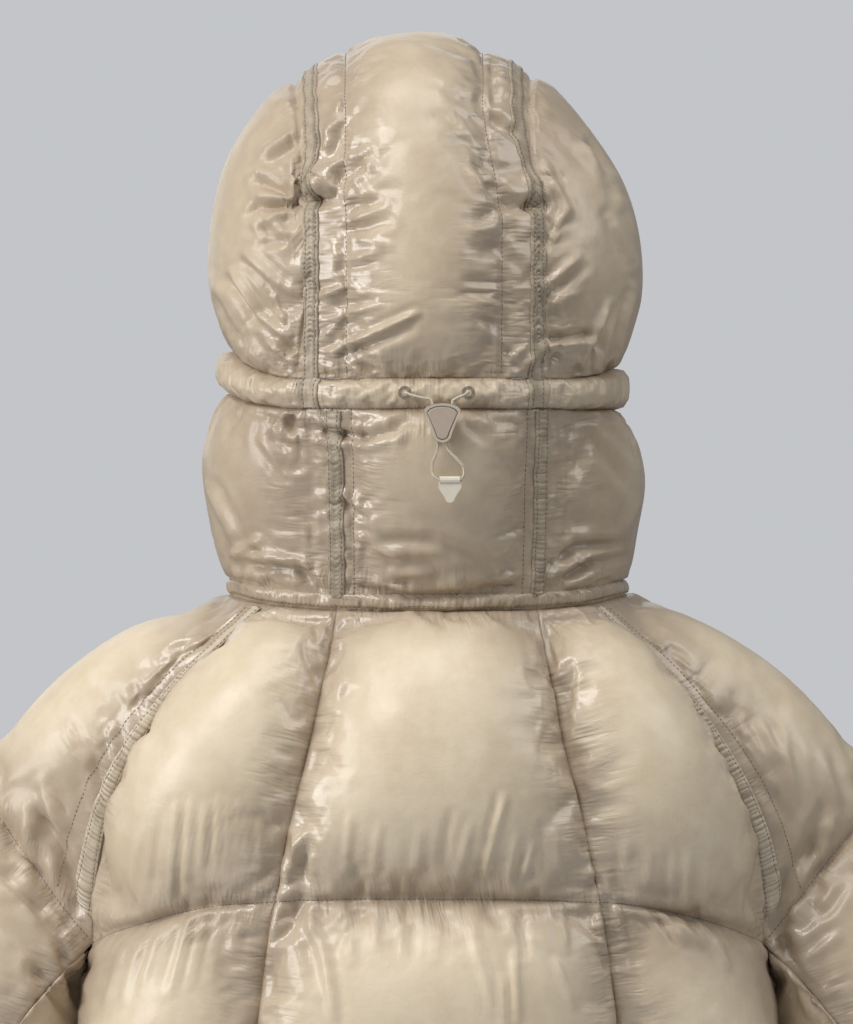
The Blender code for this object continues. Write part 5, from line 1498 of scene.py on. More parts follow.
class Paint:
    """A material with a Principled shader, and a method that adds any node to it."""

    def __init__(self, name, **fixed):
        self.material = bpy.data.materials.new(name)
        self.material.use_nodes = True
        self.tree = self.material.node_tree
        self.shader = self.tree.nodes["Principled BSDF"]
        for key, value in fixed.items():
            self.shader.inputs[key.replace("_", " ").title().replace("Ior", "IOR")].default_value = value

    def node(self, kind, settings=None, sockets=None, output=0):
        made = self.tree.nodes.new(kind)
        for key, value in (settings or {}).items():
            setattr(made, key, value)
        for key, value in (sockets or {}).items():
            self.feed(made.inputs[key], value)
        return Wire(self, made.outputs[output])

    def feed(self, socket, value):
        if isinstance(value, Wire):
            self.tree.links.new(value.socket, socket)
        else:
            socket.default_value = value

    def place(self):
        return self.node("ShaderNodeTexCoord", output="Object")

    def attribute(self, name):
        return self.node("ShaderNodeAttribute", {"attribute_name": name}, output="Fac")

    def cloth_axes(self):
        """The two UV distances along the cloth, in metres."""
        uv = self.node("ShaderNodeUVMap", {"uv_map": "cloth"})
        split = self.tree.nodes.new("ShaderNodeSeparateXYZ")
        self.feed(split.inputs[0], uv)
        return Wire(self, split.outputs["X"]), Wire(self, split.outputs["Y"])

    def noise(self, scale, detail=2.0, roughness=0.5, place=None):
        sockets = {"Vector": place or self.place(), "Scale": scale, "Detail": detail, "Roughness": roughness}
        return self.node("ShaderNodeTexNoise", None, sockets)

    def mix(self, share, first, second):
        """Between two colours."""
        settings = {"data_type": "RGBA"}
        return self.node("ShaderNodeMix", settings, {0: share, 6: first, 7: second}, output=2)

    def bump(self, height, distance, strength=1.0, normal=None):
        sockets = {"Height": height, "Distance": distance, "Strength": strength}
        if normal is not None:
            sockets["Normal"] = normal
        return self.node("ShaderNodeBump", None, sockets)

    def finish(self, **fed):
        for key, value in fed.items():
            self.feed(self.shader.inputs[key.replace("_", " ").title()], value)
        return self.material


def colour(red, green, blue):
    """A colour typed as it looks on a screen, 0 to 255, made linear."""
    return (*[((c / 255 + 0.055) / 1.055) ** 2.4 for c in (red, green, blue)], 1.0)


# %% [markdown]
# ## The nylon
# The shell is a very thin, tightly woven nylon, pressed until it shines. Down shows through it as warm,
# cloudy patches. Where there is no down behind it, beside the seams, it is darker and greyer: partly the bare
# nylon, partly painted shade in the seam valleys. The weave is a fine ribbed bump along the cloth's own UV,
# and the shine is a clear coat over a softer base.

# %% Shell nylon
CREASE_DEPTH = 0.0055


def weave(paint, pitch_across, pitch_along, distance, normal=None):
    u, v = paint.cloth_axes()
    ribs = (v * (2 * math.pi / pitch_along)).sine() * 0.5
    threads = (u * (2 * math.pi / pitch_across)).sine() * 0.25
    return paint.bump(ribs + threads, distance, normal=normal)


def creases_beside(paint, gap, run, turned, scale, seed):
    """Sharp little folds that start at a seam and run away from it, fading out as they go."""
    u, v = paint.cloth_axes()
    first, second = (v, u) if turned else (u, v)
    place = paint.node("ShaderNodeCombineXYZ", None, {0: first * 0.22, 1: second, 2: seed})
    folds = (paint.noise(scale, 2.5, 0.55, place) - 0.5).absolute()
    uneven = paint.noise(34.0, 1.0).smoothly(0.36, 0.62) + 0.25
    return folds * uneven * (1 - paint.attribute(gap).smoothly(0.0, run))


def shell_nylon():
    paint = Paint("shell_nylon", coat_roughness=0.14, sheen_weight=0.06, sheen_roughness=0.4)
    clouds = paint.noise(16.0, 4.0, 0.6) * 0.6 + paint.noise(60.0, 3.0, 0.6) * 0.4
    clouds = clouds.smoothly(0.34, 0.66)
    down = paint.mix(clouds, colour(228, 209, 179), colour(241, 225, 197))
    # darker, greyer tone beside the seams: partly nylon with no down behind it, partly painted seam shade
    bare_and_seam_shade = paint.mix(clouds, colour(183, 164, 141), colour(200, 182, 158))
    filled = paint.attribute("padding").smoothly(0.0, 0.85)
    skin = paint.mix(filled, bare_and_seam_shade, down)
    beside = creases_beside(paint, "column_gap", 0.9, False, 95.0, 0.3)
    beside = beside + 0.6 * creases_beside(paint, "row_gap", 0.7, True, 130.0, 0.7)
    pulled = paint.bump(beside, CREASE_DEPTH)
    crinkle = paint.bump(paint.noise(230.0, 3.0, 0.6), 0.0006, 0.35, pulled)
    thread = weave(paint, 0.0019, 0.0014, 0.000025, crinkle)
    rough = 0.3 + 0.14 * paint.noise(40.0, 2.0)
    shine = 0.2 + (0.5 + 0.5 * clouds) * (1 - paint.attribute("column_gap").smoothly(0.2, 1.0))
    shine = shine * (1 - 0.55 * filled)
    return paint.finish(base_color=skin, roughness=rough, coat_weight=shine, normal=thread)


def trim_nylon(name, tones):
    """Narrow folded tape. It is darker in the dips of its gathers, where less light comes in."""
    paint = Paint(name, coat_roughness=0.22, sheen_weight=0.05)
    patches = paint.noise(90.0, 3.0, 0.6)
    dips = paint.mix(patches.smoothly(0.3, 0.7), colour(*tones[0]), colour(*tones[1]))
    ridges = paint.mix(patches.smoothly(0.3, 0.7), colour(*tones[2]), colour(*tones[3]))
    skin = paint.mix(paint.attribute("padding").smoothly(0.1, 0.6), dips, ridges)
    thread = weave(paint, 0.0014, 0.0011, 0.00008, paint.bump(paint.noise(400.0, 3.0), 0.0005, 0.4))
    rough = 0.36 + 0.16 * patches
    return paint.finish(base_color=skin, roughness=rough, coat_weight=0.15 + 0.2 * patches, normal=thread)


def sewing_thread():
    paint = Paint("sewing_thread", sheen_weight=0.1)
    twist = paint.noise(900.0, 2.0)
    skin = paint.mix(twist, colour(120, 108, 88), colour(150, 137, 113))
    return paint.finish(base_color=skin, roughness=0.5 + 0.2 * twist)


# %% Cord, plastic and metal


def braided_cord():
    paint = Paint("braided_cord", sheen_weight=0.15)
    u, v = paint.cloth_axes()
    turn, run = v * (2 * math.pi * 4), u * (2 * math.pi / 0.0022)
    braid = (run + turn).sine() * (run - turn).sine()
    # the braid's sunken places are painted darker, as shade in its grooves
    skin = paint.mix(braid.smoothly(-0.6, 0.6), colour(206, 193, 167), colour(238, 228, 206))
    return paint.finish(base_color=skin, roughness=0.62 + 0.1 * braid, normal=paint.bump(braid, 0.00018))


def moulded_plastic(name, dark, light, rough, coat):
    paint = Paint(name, coat_weight=coat, coat_roughness=0.12)
    cloud = paint.noise(300.0, 3.0)
    skin = paint.mix(cloud, dark, light)
    grain = paint.bump(paint.noise(1800.0, 2.0), 0.00004, 0.5)
    return paint.finish(base_color=skin, roughness=rough + 0.08 * cloud, normal=grain)


def painted_zip_metal():
    paint = Paint("painted_zip_metal", metallic=0.35)
    wear = paint.noise(500.0, 3.0).smoothly(0.45, 0.75)
    skin = paint.mix(wear, colour(158, 146, 126), colour(190, 179, 160))
    return paint.finish(base_color=skin, roughness=0.3 + 0.12 * wear)


SHELL, THREAD, CORD = shell_nylon(), sewing_thread(), braided_cord()
# for each tape, two tones for the painted shade in the dips of its gathers, then two for its ridges
TAPE_TONES = ((136, 122, 103), (150, 135, 115), (170, 155, 133), (192, 177, 155))
PALE_TONES = ((166, 151, 130), (178, 163, 141), (204, 189, 166), (220, 206, 183))
TRIM = trim_nylon("trim_nylon", TAPE_TONES)
PALE_TRIM = trim_nylon("pale_trim_nylon", PALE_TONES)
LOCK_SHELL = moulded_plastic("lock_shell", colour(190, 179, 161), colour(208, 198, 181), 0.3, 0.3)
LOCK_PLATE = moulded_plastic("lock_plate", colour(184, 168, 151), colour(196, 180, 163), 0.34, 0.2)
TAB_PLASTIC = moulded_plastic("tab_plastic", colour(226, 217, 198), colour(236, 229, 212), 0.25, 0.5)
METAL = painted_zip_metal()
print("materials:", len(bpy.data.materials))

# %% [markdown]
# ## Dressing the panels
# Every blown panel becomes a closed piece in shell nylon that stands for its plain solid.

# %% Shell pieces


def wear(piece, material, slot_name, *nodes):
    """Gives a piece its material, its body and its place in the frame, and hides the solids that it stands
    for.
    """
    piece.data.materials.clear()
    piece.data.materials.append(material)
    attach(piece, JACKET)
    if nodes:
        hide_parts(*nodes)
    return piece


skins = {}
triangles = 0
for number, panel in enumerate(panels):
    skin = Skin(panel, 100 + 3 * number)
    skins[panel.name] = skin
    piece = closed_panel(panel.name + "_shell", skin)
    wear(piece, SHELL, "shell_nylon", panel.name)
    triangles += len(piece.data.loops) - 2 * len(piece.data.polygons)
print("shell pieces:", len(skins), "triangles:", triangles)


# %% [markdown]
# ## Tapes, bands and strips
# The seams of the hood and the raglan seams are covered with narrow tape, gathered by its two rows of
# stitching. Each strip is laid over the blown panels: a ray from outside finds the cloth under every point,
# the heights are evened out, as a taut tape would, and the ridges of the gathers are added between the
# stitches.

# %% Laying strips on the cloth
REACH = 22.0  # a ray starts this far out, above the highest cloth
BELOW = 8.0  # and may pass this far under the seam's level
TAPE_STEP = 0.7
RUCHE = 3.4  # length of one gather
TUCK_START, TUCK_RUN = 0.55, 0.35  # a tape's edges follow the cloth closely from here outwards
STITCHED_START, STITCHED_RUN = 0.45, 0.23  # from here outwards the gathers are pressed flat
TURNED_START, TURNED_RUN, TURNED_DROP = 0.85, 0.15, 0.45  # and the very edge is turned down


def tree_of(names):
    """A search tree over the outer layers of some panels."""
    vertices, faces, base = [], [], 0
    for name in names:
        outer = skins[name].outer
        rows, columns = outer.shape[:2]
        vertices += outer.reshape(-1, 3).tolist()
        faces += [tuple(base + v for v in face) for face in grid_faces(rows, columns)]
        base += rows * columns
    return BVHTree.FromPolygons(vertices, faces)


def heights_over(tree, points, normals):
    """How high the cloth stands over each point, or 0 where there is none."""
    heights = np.zeros(points.shape[:2])
    for index in np.ndindex(*heights.shape):
        start = Vector(points[index] + normals[index] * REACH)
        hit = tree.ray_cast(start, -Vector(normals[index]), REACH + BELOW)[0]
        if hit is not None:
            heights[index] = REACH - (hit - start).length
    return heights


def evened(values, count):
    """Averages each value with its neighbours in its row and column, again and again."""
    for _ in range(count):
        values = (beside(values) + 2 * values) / 6
    return values


class Strip:
    """A narrow piece laid over panels. Rows run along it, columns across it from -1 to 1.

    It offers what closed_panel reads from a Skin, and stands in for its own panel.
    """

    inner_puff = 0.0
    loft = 1.0

    def __init__(self, surface, length, inside, gather, seed, tree=None, across=13, firm=8, lift=0.15):
        shares = np.linspace(0, 1, int(length / TAPE_STEP) + 1)
        self.sides = np.linspace(-1, 1, across)
        base = worn(np.array([[surface(share, side) for side in self.sides] for share in shares]))
        self.normals = grid_normals(base, inside)
        if tree is not None:
            base = base + self.normals * self.taut_heights(tree, base, firm)[..., None]
            self.normals = surface_normals(base, self.normals)
        self.points = base + self.normals * (SEAM_HALF + lift)
        self.across = reach_along(self.points, 1)
        self.along = reach_along(self.points, 0)
        self.gaps = (np.full(self.along.shape, GAP_SCALE), np.full(self.along.shape, GAP_SCALE))
        amount = gather(shares)[:, None] if callable(gather) else gather
        ridges = self.gathers(seed)
        side = np.abs(self.sides)[None, :]
        free = 1 - soft_step((side - STITCHED_START) / STITCHED_RUN)
        height = amount * (0.4 + 0.55 * ridges) * (0.25 + 0.75 * free) - 0.4 * (1 - free)
        height = height - TURNED_DROP * soft_step((side - TURNED_START) / TURNED_RUN)
        # the ridge height is stored as padding, so the dips between gathers get painted shade
        self.full = np.clip(0.55 + 0.5 * ridges * amount, 0, 1)
        self.outer = self.points + self.normals * (SEAM_HALF + height)[..., None]
        self.panel = self

    def taut_heights(self, tree, base, firm):
        """How high a taut strip lies over the cloth, with its edges close to it."""
        raw = heights_over(tree, base, self.normals)
        close = evened(raw, 2)
        taut = np.maximum(evened(raw, firm), close - 0.2)
        tucked = soft_step((np.abs(self.sides) - TUCK_START) / TUCK_RUN)
        return lerp(taut, close, tucked[None, :])

    def gathers(self, seed):
        """Uneven ridges across the strip, from about -1 to 1."""
        across = self.sides[None, :] * np.ones_like(self.along)
        phase = self.along / RUCHE + 0.7 * soft_noise(self.along / 6.0, across * 0.25, seed)
        gate = 0.65 + 0.35 * soft_noise(self.along / 11.0, across + 20, seed + 1)
        fine = soft_noise(self.along / 1.5, across * 0.5, seed + 2)
        return np.sin(2 * math.pi * phase) * gate + 0.4 * fine

    def mirrored(self):
        other = object.__new__(Strip)
        other.__dict__.update(self.__dict__)
        for key in ("points", "normals", "outer"):
            setattr(other, key, getattr(self, key) * (-1, 1, 1))
        other.panel = other
        return other


def lay_strip(node, strip, width, length, material=TRIM):
    """Makes a strip the piece that stands for a node. Width and length, of its cloth laid flat, are not used.
    """
    piece = closed_panel(node + "_laid", strip)
    wear(piece, material, "trim_nylon", node)
    width * MM
    length * MM


# %% Tapes of the hood
hood_names = ["hood_centre", "hood_side_left", "hood_side_right", "tunnel_back", "tunnel_side_left"]
hood_names += ["tunnel_side_right", "lower_centre", "lower_side_left", "lower_side_right"]
hood_tree = tree_of(hood_names)
TUNNEL_PART = 0.06


def hood_tape_surface(side):
    seam = CROWN_SEAM[side]
    first = arch_turn(seam, TUNNEL_TOP_BACK)

    def point(share, across):
        away = side * across * TAPE_HALF
        if share < TUNNEL_PART:
            rise = lerp(0.04, 1.0, share / TUNNEL_PART)
            return tunnel_point(level_angle(seam + away, TUNNEL_TOP_BACK), rise)
        turn = lerp(first, BRIM_TURN, (share - TUNNEL_PART) / (1 - TUNNEL_PART))
        narrow = 1 - 0.4 * math.exp(-(((share - 0.37) / 0.018) ** 2))
        return on_dome(dome_arch(seam, turn) + (away * narrow, 0, 0))

    return point


def hood_gather(shares):
    """Strongly gathered up the back of the head, flat over the tunnel and the crown."""
    return 0.15 + 0.95 * soft_step((shares - 0.1) / 0.03) * (1 - soft_step((shares - 0.34) / 0.04))


strips = {}
for name, side in SIDES:
    strip = Strip(hood_tape_surface(side), 500, DOME_MIDDLE, hood_gather, 31 + side, hood_tree)
    strips[f"hood_tape_{name}"] = strip
    lay_strip(f"hood_tape_{name}", strip, 13, 620)


def lower_tape_surface(side):
    """Half on the lower centre panel and half on the side panel, down the seam between them."""
    panel = lower_side_surface(side)

    def point(share, across):
        rise = lerp(0.99, 0.07, share)
        if across < 0:
            return lower_centre_point(0.5 + side * 0.5 + side * across * 0.05, rise)
        return panel(across * 0.017, rise)

    return point


for name, side in SIDES:
    strip = Strip(lower_tape_surface(side), 130, LOWER_INSIDE, 0.7, 41 + side, hood_tree)
    strips[f"lower_tape_{name}"] = strip
    lay_strip(f"lower_tape_{name}", strip, 12, 165)


# %% Raglan tapes and the collar strip
def raglan_tape_surface(side, share, across):
    place = sleeve_outer_point(lerp(0.005, 0.056, (across + 1) / 2), lerp(0.02, 0.95, share))
    return place * (side, 1, 1)


def raglan_gather(shares):
    """Nearly flat at the neck and fully gathered from a third of the way down."""
    return 0.15 + 0.85 * soft_step((shares - 0.18) / 0.15)


raglan_inside = np.array([120.0, 0.0, -170.0])
for name, side in SIDES:
    side_tree = tree_of([f"sleeve_outer_{name}"])
    surface = partial(raglan_tape_surface, side)
    inside = raglan_inside * (side, 1, 1)
    strip = Strip(surface, 250, inside, raglan_gather, 51 + side, side_tree, lift=1.0)
    strips[f"raglan_tape_{name}"] = strip
    lay_strip(f"raglan_tape_{name}", strip, 12, 270, material=PALE_TRIM)


def collar_surface(share, across):
    """From the right front edge round the back to the left one."""
    rise = lerp(0.02, 0.085, (across + 1) / 2)
    if share < 0.4:
        return lower_side_surface(-1)(1 - share / 0.4, rise)
    if share <= 0.6:
        return lower_centre_point((share - 0.4) / 0.2, rise)
    return lower_side_surface(1)((share - 0.6) / 0.4, rise)


strip = Strip(collar_surface, 560, LOWER_INSIDE, 0.5, 61, hood_tree, across=9, firm=3)
strip.gaps = (np.zeros(strip.along.shape), strip.gaps[1])  # creased all over, as cloth is beside a seam
# a low padding share gives the collar strip more of the grey tone that is partly painted shade
strip.loft = 0.3
strips["collar_strip"] = strip
lay_strip("collar_strip", strip, 13, 620, material=SHELL)
print("strips:", list(strips))


# %% Bound edge of the face opening
def opening_edge():
    """The edge of the face opening, from chin to chin over the brim, with a point just inside each place."""
    edge, inward = [], []

    def add(surface, places, back):
        for place in places:
            edge.append(surface(*place))
            inward.append(surface(*back(place)))

    for side in (1, -1):
        lower, hood = lower_side_surface(side), hood_side_surface(side)
        part = len(edge)
        chin = [(share, 1.0) for share in np.linspace(1.0, CHEEK_SHARE + 0.03, 22)]
        add(lower, chin, lambda place: (place[0], 0.96))
        cheek = [(side * FACE_ANGLE, rise) for rise in np.linspace(0.1, 0.9, 8)]
        add(tunnel_point, cheek, lambda place: (0.97 * place[0], place[1]))
        temple = [(1.0, rise) for rise in np.linspace(0.02, 0.98, 50)]
        add(hood, temple, lambda place: (0.97, place[1]))
        if side == 1:
            brim = [(share, LOW_ROWS + HIGH_ROWS) for share in np.linspace(0.98, 0.02, 34)]
            add(crown_point, brim, lambda place: (place[0], place[1] - 0.25))
        else:
            edge[part:] = edge[part:][::-1]
            inward[part:] = inward[part:][::-1]
    return worn(np.array(edge)), worn(np.array(inward))


def smooth_path(points, count):
    for _ in range(count):
        points = np.concatenate([points[:1], (points[:-2] + 2 * points[1:-1] + points[2:]) / 4, points[-1:]])
    return points


def roll(name, path, out, width, half, seed):
    """A soft bound edge with an oval section, closed at both ends."""
    reach = distances(path)
    even = np.linspace(0, reach[-1], int(reach[-1] / 2.0))
    path = np.stack([np.interp(even, reach, path[:, k]) for k in range(3)], axis=-1)
    out = units(np.stack([np.interp(even, reach, out[:, k]) for k in range(3)], axis=-1))
    up = units(np.cross(units(np.gradient(path, axis=0)), out))
    turns = np.linspace(0, 2 * math.pi, 16, endpoint=False)
    swell = 1 + 0.16 * soft_noise(even[:, None] / 2.2, np.cos(turns)[None, :] * 2 + 5, seed)
    middle = path + out * (width / 2 + 0.7)
    offset = out[:, None, :] * (np.cos(turns) * width / 2)[None, :, None]
    offset = offset + up[:, None, :] * (np.sin(turns) * half)[None, :, None] * swell[..., None]
    vertices = (middle[:, None, :] + offset).reshape(-1, 3) * MM
    around, along = np.broadcast_arrays((turns * width / 3)[None, :] * MM, even[:, None] * MM)
    uvs = np.stack([around, along], axis=-1).reshape(-1, 2)
    return turned_out(mesh_object(name, vertices, tube_faces(len(even), len(turns)), uvs)), reach[-1]


def turned_out(piece):
    """Makes every face of a closed piece point outwards."""
    body = bmesh.new()
    body.from_mesh(piece.data)
    bmesh.ops.recalc_face_normals(body, faces=body.faces)
    body.to_mesh(piece.data)
    body.free()
    return piece


edge, inward = opening_edge()
edge = smooth_path(edge, 6)
binding, binding_length = roll(
    "hood_binding_roll", edge, units(edge - smooth_path(inward, 6)), BINDING_WIDTH, BINDING_HALF, 71
)
wear(binding, TRIM, "trim_nylon", "hood_binding")


# %% Hem band, cuffs and zip tapes
def hem_surface(share, across):
    angle = zip_angle(HEM)
    return body_point(lerp(-angle, angle, share), HEM) - (0, 0, lerp(0.5, BAND_HEIGHT, (across + 1) / 2))


def cuff_surface(share, across):
    """Round the sleeve's end: out over the outer piece, and back under the inner one."""
    surface, part = (sleeve_outer_point, 2 * share) if share <= 0.5 else (sleeve_under_point, 2 - 2 * share)
    end, before = surface(part, 5.0), surface(part, 4.97)
    return end + unit(end - before) * lerp(0.6, BAND_HEIGHT, (across + 1) / 2)


def band(surface, length, inside, seed):
    """A strip with an inner layer further in, because a band is folded double."""
    made = Strip(surface, length, inside, 0.5, seed, across=15)
    made.points = made.points - made.normals * 0.6
    return made


hem = band(hem_surface, 1500, np.array([0.0, 0.0, -680.0]), 81)
lay_strip("hem_band", hem, 22, 1500)
cuff = band(cuff_surface, 330, np.array([310.0, -65.0, -670.0]), 91)
for name, side in SIDES:
    lay_strip(f"cuff_{name}", cuff if side == 1 else cuff.mirrored(), 22, 330)


def zip_tape_surface(share, across):
    station = lerp(-1.0, HEM, share)
    drop = BAND_HEIGHT * max(0.0, (share - 0.985) / 0.015)
    return front_line(lerp(0.5, ZIP_EDGE - 0.4, (across + 1) / 2), station) - (0, 0, drop)


zip_tape = Strip(zip_tape_surface, 880, np.array([0.0, 0.0, -300.0]), 0.12, 95, across=7)
for name, side in SIDES:
    lay_strip(f"zip_tape_{name}", zip_tape if side == 1 else zip_tape.mirrored(), 16, 880)
print("bands, cuffs and zip tapes are on")


# %% [markdown]
# ## Stitches and zip teeth
# Both repeat along a path, so both are Geometry Nodes trees: lines come in, are cut into even steps, and each
# step gets one small shape turned along the line.

# %% Repeating a shape along lines


def along_lines(tree_name, shape, material):
    """A node tree with a spacing input that puts a shape at even steps along the lines it is given."""
    tree = bpy.data.node_groups.new(tree_name, "GeometryNodeTree")
    tree.interface.new_socket("Geometry", in_out="INPUT", socket_type="NodeSocketGeometry")
    tree.interface.new_socket("Spacing", in_out="INPUT", socket_type="NodeSocketFloat")
    tree.interface.new_socket("Unevenness", in_out="INPUT", socket_type="NodeSocketFloat")
    tree.interface.new_socket("Geometry", in_out="OUTPUT", socket_type="NodeSocketGeometry")

    def node(kind, settings=None, links=None):
        made = tree.nodes.new(kind)
        for key, value in (settings or {}).items():
            setattr(made, key, value)
        for key, value in (links or {}).items():
            if hasattr(value, "is_output"):
                tree.links.new(value, made.inputs[key])
            else:
                made.inputs[key].default_value = value
        return made

    given = node("NodeGroupInput")
    curve = node("GeometryNodeMeshToCurve", None, {"Mesh": given.outputs["Geometry"]})
    cutting = {"Curve": curve.outputs[0], "Length": given.outputs["Spacing"]}
    steps = node("GeometryNodeResampleCurve", {"mode": "LENGTH"}, cutting)
    tangent = node("GeometryNodeInputTangent")
    turn = node("FunctionNodeAlignRotationToVector", {"axis": "Z"}, {"Vector": tangent.outputs[0]})
    source = node("GeometryNodeObjectInfo", {"transform_space": "ORIGINAL"}, {"Object": shape})
    low = node("ShaderNodeMath", {"operation": "SUBTRACT"}, {0: 1.0, 1: given.outputs["Unevenness"]})
    sizes = {"Min": low.outputs[0], "Max": 1.0, "Seed": 5}
    size = node("FunctionNodeRandomValue", {"data_type": "FLOAT"}, sizes)
    placing = {
        "Points": steps.outputs[0],
        "Instance": source.outputs["Geometry"],
        "Rotation": turn.outputs[0],
        "Scale": size.outputs["Value"],
    }
    placed = node("GeometryNodeInstanceOnPoints", None, placing)
    real = node("GeometryNodeRealizeInstances", None, {"Geometry": placed.outputs[0]})
    dressed = node("GeometryNodeSetMaterial", None, {"Geometry": real.outputs[0], "Material": material})
    result = node("NodeGroupOutput")
    tree.links.new(dressed.outputs[0], result.inputs[0])
    return tree


def repeated(name, lines, tree, spacing, unevenness):
    """A mesh of one shape repeated along some lines, each a list of points in metres."""
    vertices, edges = [], []
    for line in lines:
        base = len(vertices)
        vertices += [tuple(point) for point in line]
        edges += [(base + k, base + k + 1) for k in range(len(line) - 1)]
    mesh = bpy.data.meshes.new(name + "_lines")
    mesh.from_pydata(vertices, edges, [])
    source = bpy.data.objects.new(name, mesh)
    bpy.context.scene.collection.objects.link(source)
    modifier = source.modifiers.new("repeat", "NODES")
    modifier.node_group = tree
    inputs = {item.name: item.identifier for item in tree.interface.items_tree if item.in_out == "INPUT"}
    modifier[inputs["Spacing"]] = spacing
    modifier[inputs["Unevenness"]] = unevenness
    graph = bpy.context.evaluated_depsgraph_get()
    graph.update()
    made = bpy.data.meshes.new_from_object(source.evaluated_get(graph))
    source.modifiers.clear()
    source.data = made
    return source


def small_shape(name, make, scale):
    """A small mesh used only as the source of a repeat, scaled for good."""
    make()
    shape = bpy.context.active_object
    shape.name = name
    shape.data.transform(Matrix.Diagonal((*scale, 1.0)))
    shape.data.polygons.foreach_set("use_smooth", [True] * len(shape.data.polygons))
    bpy.context.scene.collection.objects.unlink(shape)
    return shape


# %% Stitches
stitch = small_shape(
    "one_stitch",
    lambda: bpy.ops.mesh.primitive_uv_sphere_add(segments=5, ring_count=3, radius=1.0),
    (0.00037, 0.00037, 0.00125),
)
stitching = along_lines("stitching", stitch, THREAD)
STITCH_SPACING = 0.0031


def skin_line(skin, place, lift=0.12):
    """A line along one row or column of a skin, just proud of it."""
    normals = surface_normals(skin.outer, skin.normals)
    return (skin.outer[place] + normals[place] * lift) * MM


def finer_shares(shares):
    out = np.zeros(len(shares) * 2 - 1)
    out[0::2] = shares
    out[1::2] = (shares[1:] + shares[:-1]) / 2
    return out


def nearest(shares, mark):
    """Which row or column of the finer grid lies nearest to a mark."""
    return int(np.argmin(np.abs(finer_shares(shares) - mark)))


def column_lines(name, marks, rows=slice(None)):
    skin = skins[name]
    return [skin_line(skin, (rows, nearest(skin.panel.columns, mark))) for mark in marks]


def row_lines(name, marks):
    skin = skins[name]
    return [skin_line(skin, nearest(skin.panel.rows, mark)) for mark in marks]


def strip_lines(names, sides=(-0.68, 0.68)):
    lines = []
    for name in names:
        strip = strips[name]
        for side in sides:
            column = int(np.argmin(np.abs(strip.sides - side)))
            lines.append((strip.outer[:, column] + strip.normals[:, column] * 0.15) * MM)
    return lines


groups = {}
tapes = [name for name in strips if "tape" in name]
groups["tape_stitches"] = strip_lines(tapes) + strip_lines(["collar_strip"], (-0.75,))
crown_lines = column_lines("hood_centre", (CROWN_FLAT, 1 - CROWN_FLAT), slice(6, None))
lower_lines = column_lines("lower_centre", (LOWER_MARGIN, 1 - LOWER_MARGIN))
groups["hood_stitches"] = crown_lines + lower_lines
for name in ("tunnel_back", "tunnel_side_left", "tunnel_side_right"):
    groups["hood_stitches"] += row_lines(name, (0.0, 1.0))
margin = slice(2, nearest(skins["sleeve_outer_left"].panel.rows, 0.98))
groups["body_stitches"] = []
for name, _ in SIDES:
    groups["body_stitches"] += column_lines(f"sleeve_outer_{name}", RAGLAN_MARGINS, margin)
    groups["body_stitches"] += row_lines(f"sleeve_outer_{name}", (1.0, 2.0, 3.0, 4.0))
    groups["body_stitches"] += row_lines(f"back_side_{name}", LINES) + row_lines(f"front_{name}", LINES)
groups["body_stitches"] += row_lines("back_centre", LINES)
for name, lines in groups.items():
    piece = repeated(name, lines, stitching, STITCH_SPACING, 0.15)
    wear(piece, THREAD, "trim_nylon")
    print(name, len(piece.data.polygons), "faces")

# %% Zip teeth
tooth = small_shape("one_tooth", lambda: bpy.ops.mesh.primitive_cube_add(size=1.0), (0.0026, 0.0017, 0.0011))
teeth_tree = along_lines("zip_teeth", tooth, METAL)
stations = np.linspace(-1.0, HEM, 300)
tooth_lines = []
for side in (1, -1):
    line = np.array([front_line(1.0, v) for v in stations]) * (side, 1, 1)
    normals = np.tile((0.0, -1.0, 0.0), (len(line), 1))
    line = worn(line) + normals * 2.3
    tooth_lines.append((line if side == 1 else line[1:]) * MM)
teeth = repeated("zip_teeth", tooth_lines, teeth_tree, 0.0022, 0.0)
wear(teeth, METAL, "zip_metal", "zip_chain")
print("teeth", len(teeth.data.polygons), "faces")


# %% [markdown]
# ## Hardware
# The lock, the end tab, the eyelets and the zip's metal keep their solids. They get better finishes.

# %% Hardware finishes
wear(drawcord, CORD, "cord", "drawcord")
finishes = {
    "cord_lock_body": LOCK_SHELL,
    "cord_lock_button": LOCK_PLATE,
    "cord_end_tab": TAB_PLASTIC,
    "eyelet_left": METAL,
    "eyelet_right": METAL,
    "zip_slider": METAL,
    "zip_pull": METAL,
}
for node, finish in finishes.items():
    frame["nodes"][node].material_slots[0].material = finish

# %% [markdown]
# ## Light and floor
# The jacket stands beside tall windows: soft lights low and high on its left, a broad one overhead, and a
# weak fill on the right. Another lights its front. The floor lies just under the hem.

# %% Light and floor


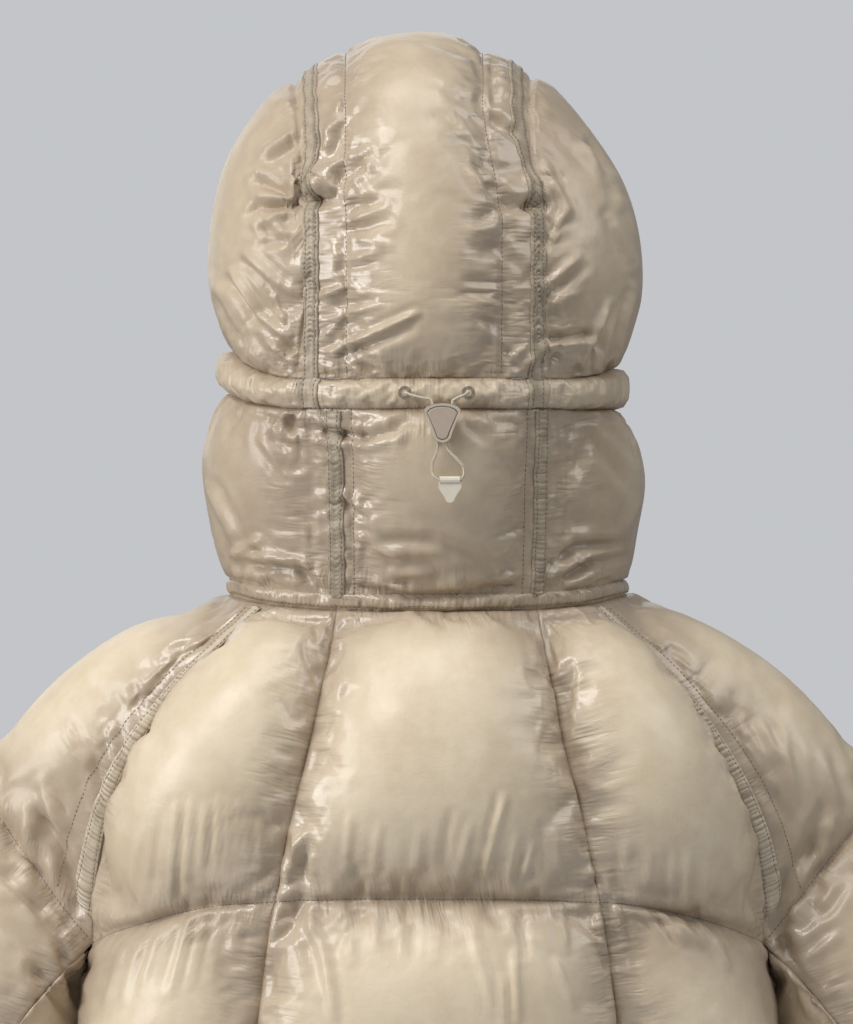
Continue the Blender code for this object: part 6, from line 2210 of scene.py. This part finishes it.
def soft_light(name, place, aim, size, watts, tint):
    data = bpy.data.lights.new(name, "AREA")
    data.shape = "RECTANGLE"
    data.size, data.size_y = size
    data.energy = watts
    data.color = tint
    light = bpy.data.objects.new(name, data)
    light.location = place
    light.rotation_euler = (Vector(aim) - Vector(place)).to_track_quat("-Z", "Y").to_euler()
    bpy.context.scene.collection.objects.link(light)


def around(turn, rise, reach=3.0):
    """A place round the jacket, turned from straight behind towards the picture's left, and raised."""
    turn, rise = math.radians(turn), math.radians(rise)
    level = reach * math.cos(rise)
    return (level * math.sin(turn), level * math.cos(turn), reach * math.sin(rise))


soft_light("window", around(66, 12), (0.0, 0.0, 0.0), (1.4, 1.6), 40.0, (1.0, 0.99, 0.98))
soft_light("window_high", around(38, 42), (0.0, 0.0, 0.0), (1.1, 1.1), 31.0, (1.0, 0.99, 0.97))
soft_light("sky", around(0, 70), (0.0, 0.0, 0.0), (1.8, 1.8), 24.0, (1.0, 0.99, 0.98))
soft_light("fill", around(-58, 35), (0.0, 0.0, 0.0), (1.8, 1.8), 20.0, (0.98, 0.99, 1.0))
soft_light("front", (0.6, -3.0, 1.4), (0.0, 0.0, 0.0), (2.6, 2.6), 14.0, (1.0, 1.0, 1.0))

world = bpy.data.worlds.new("studio")
bpy.context.scene.world = world
world.use_nodes = True
backdrop = world.node_tree.nodes["Background"]
backdrop.inputs["Color"].default_value = colour(195, 197, 201)
AMBIENT = 0.27
seen = world.node_tree.nodes.new("ShaderNodeLightPath")
dimmed = world.node_tree.nodes.new("ShaderNodeMapRange")
dimmed.inputs["To Min"].default_value = AMBIENT
world.node_tree.links.new(seen.outputs["Is Camera Ray"], dimmed.inputs["Value"])
world.node_tree.links.new(dimmed.outputs["Result"], backdrop.inputs["Strength"])
bpy.context.scene.view_settings.view_transform = "Standard"

FLOOR_GAP = 0.01
bpy.ops.mesh.primitive_circle_add(vertices=96, radius=1.5, fill_type="NGON")
floor = bpy.context.active_object
floor.name = "floor"
floor.data.transform(Matrix.Translation((0, 0, CAD_BOX[0].z - FLOOR_GAP)))
floor_paint = Paint("pale_floor", specular_ior_level=0.2)
tone = floor_paint.mix(floor_paint.noise(3.0), colour(196, 198, 202), colour(204, 206, 210))
floor.data.materials.append(floor_paint.finish(base_color=tone, roughness=0.8 + 0.1 * floor_paint.noise(9.0)))
